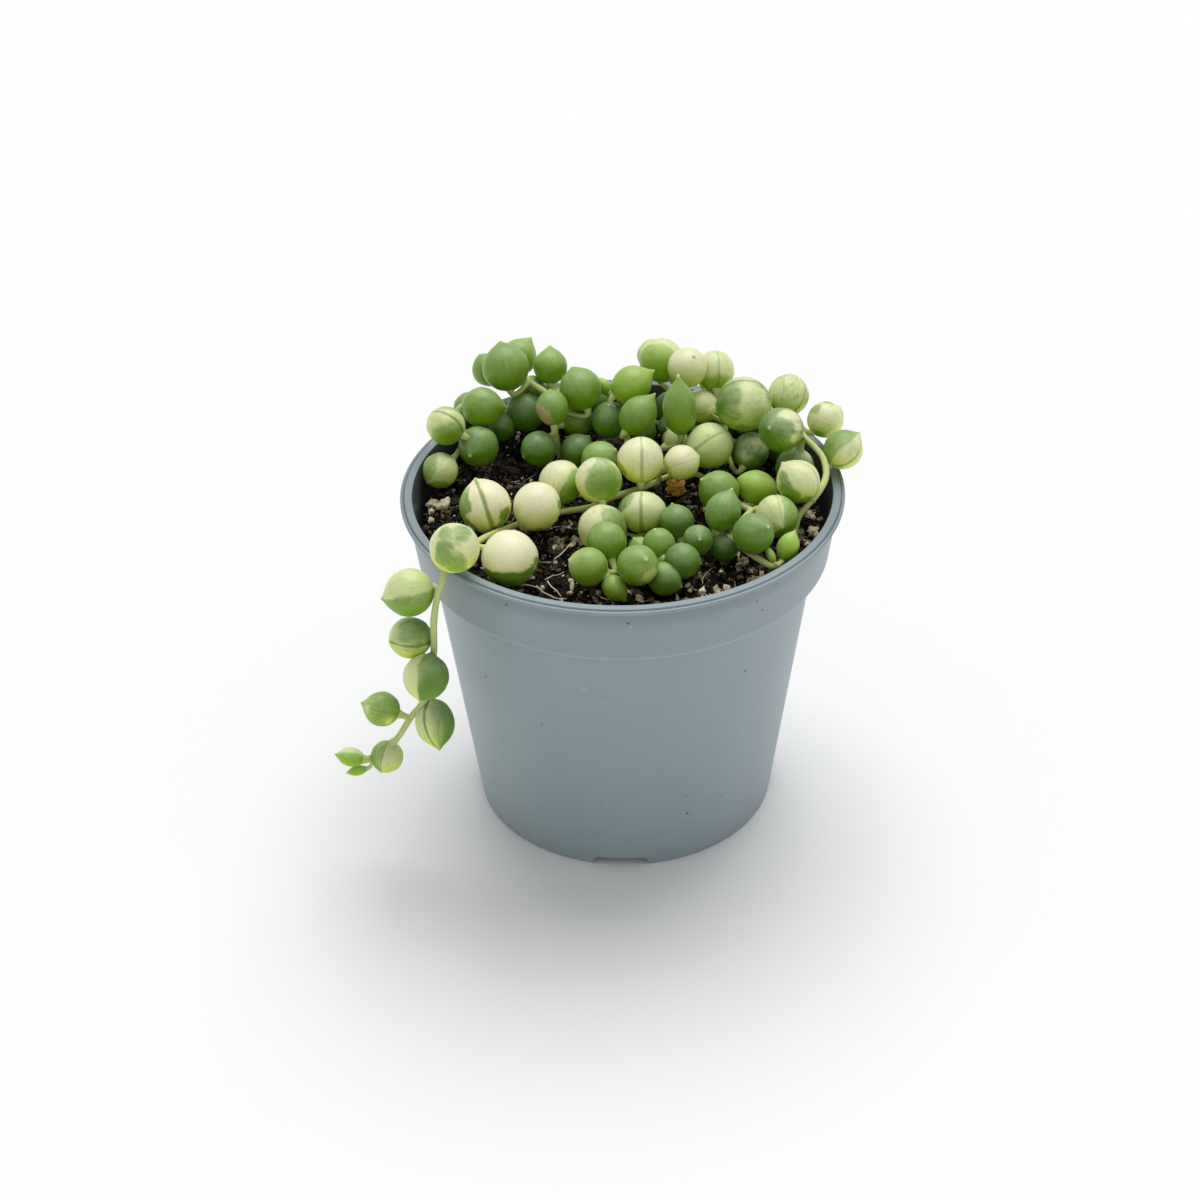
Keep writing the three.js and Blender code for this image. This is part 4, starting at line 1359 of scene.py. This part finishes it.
class PEARLS_OT_add_fibres(bpy.types.Operator):
    """Add the thin dry roots that lie over the soil"""

    bl_idname = "pearls.add_fibres"
    bl_label = "Add Root Fibres"

    def execute(self, context):
        soil = context.scene.pearls.soil
        rng = random.Random(FIBRE_SEED)
        bm = bmesh.new()
        for x, y in scattered(rng, soil.fibres):
            bend = rng.uniform(-0.25, 0.25)
            add_fibre(bm, x, y, rng.uniform(0, math.tau), rng.uniform(2, 6), bend, rng)
        for x, y, heading, reach, bend in LOOSE_ROOTS:
            turn, curl = math.radians(heading), math.radians(bend)
            add_fibre(bm, x, y, turn, reach, curl, rng, thickness=0.13, lift=1.1, wander=0.03)
        finished(bm, "root_fibres", [root_fibre(soil)], "peat_soil")
        return {"FINISHED"}


def add_fibre(bm, x, y, heading, reach, bend, rng, thickness=0.06, lift=0.5, wander=0.2):
    """One wandering root of that reach in mm, thinning towards its end."""
    step = 0.6
    route = []
    for _ in range(round(reach / step) + 1):
        if math.hypot(x, y) > CRUMB_EDGE:
            break
        route.append(at(x, y, soil_top(x, y) + lift + rng.uniform(0, 0.12)))
        x += step * math.cos(heading)
        y += step * math.sin(heading)
        heading += (bend + rng.uniform(-wander, wander)) * step
    if len(route) > 3:
        thick = thickness * rng.uniform(0.7, 1.3) * MM
        radii = [thick * (1 - 0.6 * index / len(route)) for index in range(len(route))]
        tube(bm, route, radii, FIBRE_SIDES)


# ---------------------------------------------------------------------------------------------
# Strings of leaves
# ---------------------------------------------------------------------------------------------


def pearl_form(leaf):
    """A round leaf of radius 1 with its base at -Z and its tip at +Z, each vertex a direction."""
    bm = bmesh.new()
    angles = [math.pi * ring / leaf.rings for ring in range(leaf.rings + 1)]
    outlined(bm, [(math.sin(angle), -math.cos(angle)) for angle in angles])
    turned(bm, leaf.sides, tolerance=1e-5)
    return mesh_of(bm, "pearl_form")


def nearest(routes, place):
    """The stem point that is nearest to a place, clear of the soil and short of the stem's ends."""
    open_points = [
        point for route in routes for point in route[2:-2] if point.z > SOIL_LEVEL * MM or is_outside(point)
    ]
    return min(open_points, key=lambda point: (point - place).length)


def is_outside(point):
    """Whether a point is past the pot's lip."""
    return (point - AXIS).xy.length > POT_HIGH.y - AXIS.y


def leaf_axis(entry, routes):
    """The direction that the leaf's tip points in."""
    centre = at(entry.x, entry.y, entry.z)
    if entry.azimuth is None:
        return (centre - nearest(routes, centre)).normalized()
    turn, rise = math.radians(entry.azimuth), math.radians(entry.elevation)
    return Vector((math.cos(rise) * math.cos(turn), math.cos(rise) * math.sin(turn), math.sin(rise)))


def cream_side(entry, local, world, middle):
    """How far inside the leaf's cream a direction is, in radians, and below 0 in its green."""
    if entry.cream >= 360:
        side = 1.2
    elif entry.cream <= 0:
        side = -2.0
    else:
        turn = abs(math.atan2(local.y, local.x) - middle)
        side = math.radians(entry.cream / 2) - min(turn, math.tau - turn)
    for *direction, degrees in entry.pale:
        side = max(side, math.radians(degrees) - seen(direction).angle(world, 0))
    for *direction, degrees in entry.green:
        side = min(side, seen(direction).angle(world, 0) - math.radians(degrees))
    return side


def leaf_turn(entry, axis):
    """The leaf's own axes as a turn: its window's side, the side across it, and its tip."""
    forward = seen(entry.stripe)
    if forward.cross(axis).length < 0.05:
        forward = Vector((axis.y, axis.z, axis.x))
    window = (forward - axis * forward.dot(axis)).normalized()
    return Matrix((window, axis.cross(window), axis)).transposed()


def paint_leaf(bm, verts, entry, turn):
    """Gives each vertex of the round form its place on it, and the colours for the leaf's skin."""
    place_layer = bm.verts.layers.float_vector["leaf_place"]
    cream_layer = bm.verts.layers.float_vector["leaf_cream"]
    green_layer = bm.verts.layers.float_vector["leaf_green"]
    scar_layer = bm.verts.layers.float["leaf_scar"]
    cream_local = turn.transposed() @ seen(entry.side)
    middle = math.atan2(cream_local.y, cream_local.x)
    for vert in verts:
        world = turn @ vert.co
        vert[place_layer] = vert.co
        vert[cream_layer] = (cream_side(entry, vert.co, world, middle), entry.fade, entry.ragged)
        vert[green_layer] = (entry.tone, entry.line, entry.streaks)
        if entry.scar:
            *direction, degrees = entry.scar
            vert[scar_layer] = 1 - math.degrees(seen(direction).angle(world, 0)) / degrees / 1.6


def leaf_shape(entry, local):
    """Where a point of the round form goes, drawn to the tip, dented at the foot and the window."""
    seed = Vector((entry.x, entry.y, entry.z)) * 3.7
    from_tip = math.acos(max(-1, min(1, local.z)))
    nib = min(0.07, entry.point * 0.6)
    cusp = entry.point * math.exp(-from_tip / 0.32) + nib * math.exp(-from_tip / 0.1)
    height = (local.z + cusp) * entry.stretch - 0.06 * math.exp(-(math.pi - from_tip) / 0.3)
    swell = 1 + 0.03 * noise.noise(local * 1.3 + seed) + 0.012 * noise.noise(local * 3.5 + seed)
    off_line = math.atan2(local.y, local.x)
    groove = 0.03 * entry.line * math.exp(-((off_line / 0.16) ** 2)) * math.sin(from_tip)
    width = swell - groove
    return Vector((local.x * width, local.y * width, height * swell))


def add_leaf(bm, form, entry, routes, settings):
    """One leaf on its stalk, shaped, coloured and set on its stem."""
    centre = at(entry.x, entry.y, entry.z)
    axis = leaf_axis(entry, routes)
    turn = leaf_turn(entry, axis)
    radius = entry.width / 2 * MM
    start = len(bm.verts)
    bm.from_mesh(form)
    bm.verts.ensure_lookup_table()
    verts = bm.verts[start:]
    paint_leaf(bm, verts, entry, turn)
    for vert in verts:
        vert.co = centre + turn @ (leaf_shape(entry, vert.co) * radius)
    foot = centre - axis * radius * entry.stretch * 1.02
    add_stalk(bm, foot, axis, nearest(routes, foot), radius, settings)


def add_stalk(bm, foot, axis, joint, radius, settings):
    """A short stalk that leaves the leaf's base along its axis and bends down to the stem."""
    reach = (joint - foot).length
    leave = foot - axis * reach * 0.45
    arrive = joint + (foot - joint).normalized() * reach * 0.2
    inside = foot + axis * radius * 0.15
    points = max(4, round(reach / (0.45 * MM)))
    route = [inside] + interpolate_bezier(foot, leave, arrive, joint, points)
    slim = min(settings.stalk_radius, radius * 0.3)
    radii = [slim * 1.9]
    last = len(route) - 2
    for index in range(last + 1):
        share = index / max(last, 1)
        flare = 0.75 * math.exp(-share * reach / (0.45 * MM))
        sheath = 0.35 * math.exp(-(1 - share) * reach / (0.5 * MM))
        radii.append(slim * (1 + flare + sheath))
    ages = [0.45 * math.exp(-(len(radii) - 1 - index) / 1.5) for index in range(len(radii))]
    add_skin(bm, route, radii, STALK_SIDES, ages)


def add_stem(bm, route, settings):
    """A stem with slight swellings, older and browner towards the soil."""
    radii = []
    for index, point in enumerate(route):
        swelling = 1 + 0.14 * noise.noise(point * 260) + 0.05 * noise.noise(point * 900)
        taper = min(1.0, 0.6 + 0.08 * (len(route) - index))
        radii.append(settings.stem_radius * swelling * taper)
    ages = [0.25 + 0.35 * noise.noise(point * 420) for point in route]
    add_skin(bm, route, radii, STEM_SIDES, ages)


def add_skin(bm, route, radii, sides, ages):
    """A tube in the stem's own material, with an age for each of its rings."""
    layer = bm.verts.layers.float["stem_age"]
    start = len(bm.faces)
    for ring, age in zip(tube(bm, route, radii, sides), ages):
        for vert in ring:
            vert[layer] = age
    bm.faces.ensure_lookup_table()
    for face in bm.faces[start:]:
        face.material_index = STEM_MATERIAL


class PEARLS_OT_add_strings(bpy.types.Operator):
    """Add the leafy strings, each a stem with its branches, stalks and round leaves"""

    bl_idname = "pearls.add_strings"
    bl_label = "Add Strings"

    def execute(self, context):
        settings = context.scene.pearls.leaf
        form = pearl_form(settings)
        materials = [leaf_wax(settings), stem_skin(settings)]
        for string in STRINGS:
            bm = bmesh.new()
            for layer in ("leaf_place", "leaf_cream", "leaf_green"):
                bm.verts.layers.float_vector.new(layer)
            for layer in ("leaf_scar", "stem_age"):
                bm.verts.layers.float.new(layer)
            routes = [smooth_route(stem, 0.5 * MM) for stem in string.stems]
            for entry in string.leaves:
                add_leaf(bm, form, entry, routes, settings)
            for route in routes:
                add_stem(bm, route, settings)
            bmesh.ops.recalc_face_normals(bm, faces=bm.faces[:])
            finished(bm, string.name, materials, string.slot, string.node)
        bpy.data.meshes.remove(form)
        return {"FINISHED"}


# ---------------------------------------------------------------------------------------------
# Stage
# ---------------------------------------------------------------------------------------------


def add_camera():
    """The photograph's view: a 72 mm lens that looks down on the pot, rolled by a degree."""
    data = bpy.data.cameras.new("photo_camera")
    data.lens = LENS
    data.sensor_width = SENSOR
    data.clip_start = 0.01
    data.clip_end = 10
    camera = placed("photo_camera", data)
    roll = math.radians(CAMERA_ROLL)
    right = VIEW_RIGHT * math.cos(roll) + VIEW_UP * math.sin(roll)
    up = VIEW_UP * math.cos(roll) - VIEW_RIGHT * math.sin(roll)
    turn = Matrix((right, up, VIEW_NEAR)).transposed().to_4x4()
    place = at(*CAMERA_AIM) + VIEW_NEAR * CAMERA_DISTANCE * MM
    camera.matrix_world = Matrix.Translation(place) @ turn
    bpy.context.scene.camera = camera


def add_floor(stage):
    """A round white floor, wide enough to fill the photograph's view."""
    graph = Graph("white_floor", Specular_IOR_Level=0.1, Roughness=0.9)
    material = graph.finish(Base_Color=tuple(stage.floor))
    bm = bmesh.new()
    bmesh.ops.create_circle(bm, cap_ends=True, segments=96, radius=FLOOR_RADIUS * MM)
    mesh = mesh_of(bm, "white_floor")
    mesh.materials.append(material)
    floor = placed("white_floor", mesh)


def add_lamp(stage):
    """One broad soft light, nearly overhead and a little behind the pot."""
    data = bpy.data.lights.new("overhead_lamp", "SUN")
    data.angle = stage.softness
    data.energy = stage.lamp
    lamp = placed("overhead_lamp", data)
    lamp.rotation_euler = Vector(LAMP_SIDE).to_track_quat("Z", "Y").to_euler()


class PEARLS_OT_add_stage(bpy.types.Operator):
    """Add the white floor, the soft light and the camera"""

    bl_idname = "pearls.add_stage"
    bl_label = "Add Stage"

    def execute(self, context):
        stage = context.scene.pearls.stage
        add_camera()
        add_floor(stage)
        add_lamp(stage)
        world = bpy.data.worlds.new("white_studio")
        world.use_nodes = True
        background = world.node_tree.nodes["Background"]
        background.inputs["Color"].default_value = (1, 1, 1, 1)
        background.inputs["Strength"].default_value = stage.sky
        context.scene.world = world
        context.scene.view_settings.view_transform = "Standard"
        return {"FINISHED"}


class PEARLS_PT_panel(bpy.types.Panel):
    """Buttons for the plant's pieces, in the order that they are made"""

    bl_idname = "PEARLS_PT_panel"
    bl_label = "String of Pearls"
    bl_space_type = "VIEW_3D"
    bl_region_type = "UI"
    bl_category = "Pearls"

    def draw(self, context):
        column = self.layout.column()
        for operator in OPERATORS:
            column.operator(operator.bl_idname)
        for group in ("pot", "soil", "leaf", "stage"):
            settings = getattr(context.scene.pearls, group)
            box = self.layout.box()
            box.label(text=settings.bl_rna.description)
            for name in settings.__annotations__:
                box.prop(settings, name)


OPERATORS = (
    PEARLS_OT_add_stage,
    PEARLS_OT_add_pot,
    PEARLS_OT_add_soil,
    PEARLS_OT_add_crumbs,
    PEARLS_OT_add_fibres,
    PEARLS_OT_add_strings,
)
SETTINGS = (PotSettings, SoilSettings, LeafSettings, StageSettings, PearlSettings)
CLASSES = (*SETTINGS, *OPERATORS, PEARLS_PT_panel)


def register():
    for item in CLASSES:
        bpy.utils.register_class(item)
    bpy.types.Scene.pearls = PointerProperty(type=PearlSettings)


def unregister():
    del bpy.types.Scene.pearls
    for item in reversed(CLASSES):
        bpy.utils.unregister_class(item)


def main():
    register()
    for operator in OPERATORS:
        group, name = operator.bl_idname.split(".")
        getattr(getattr(bpy.ops, group), name)()


if __name__ == "__main__":
    main()
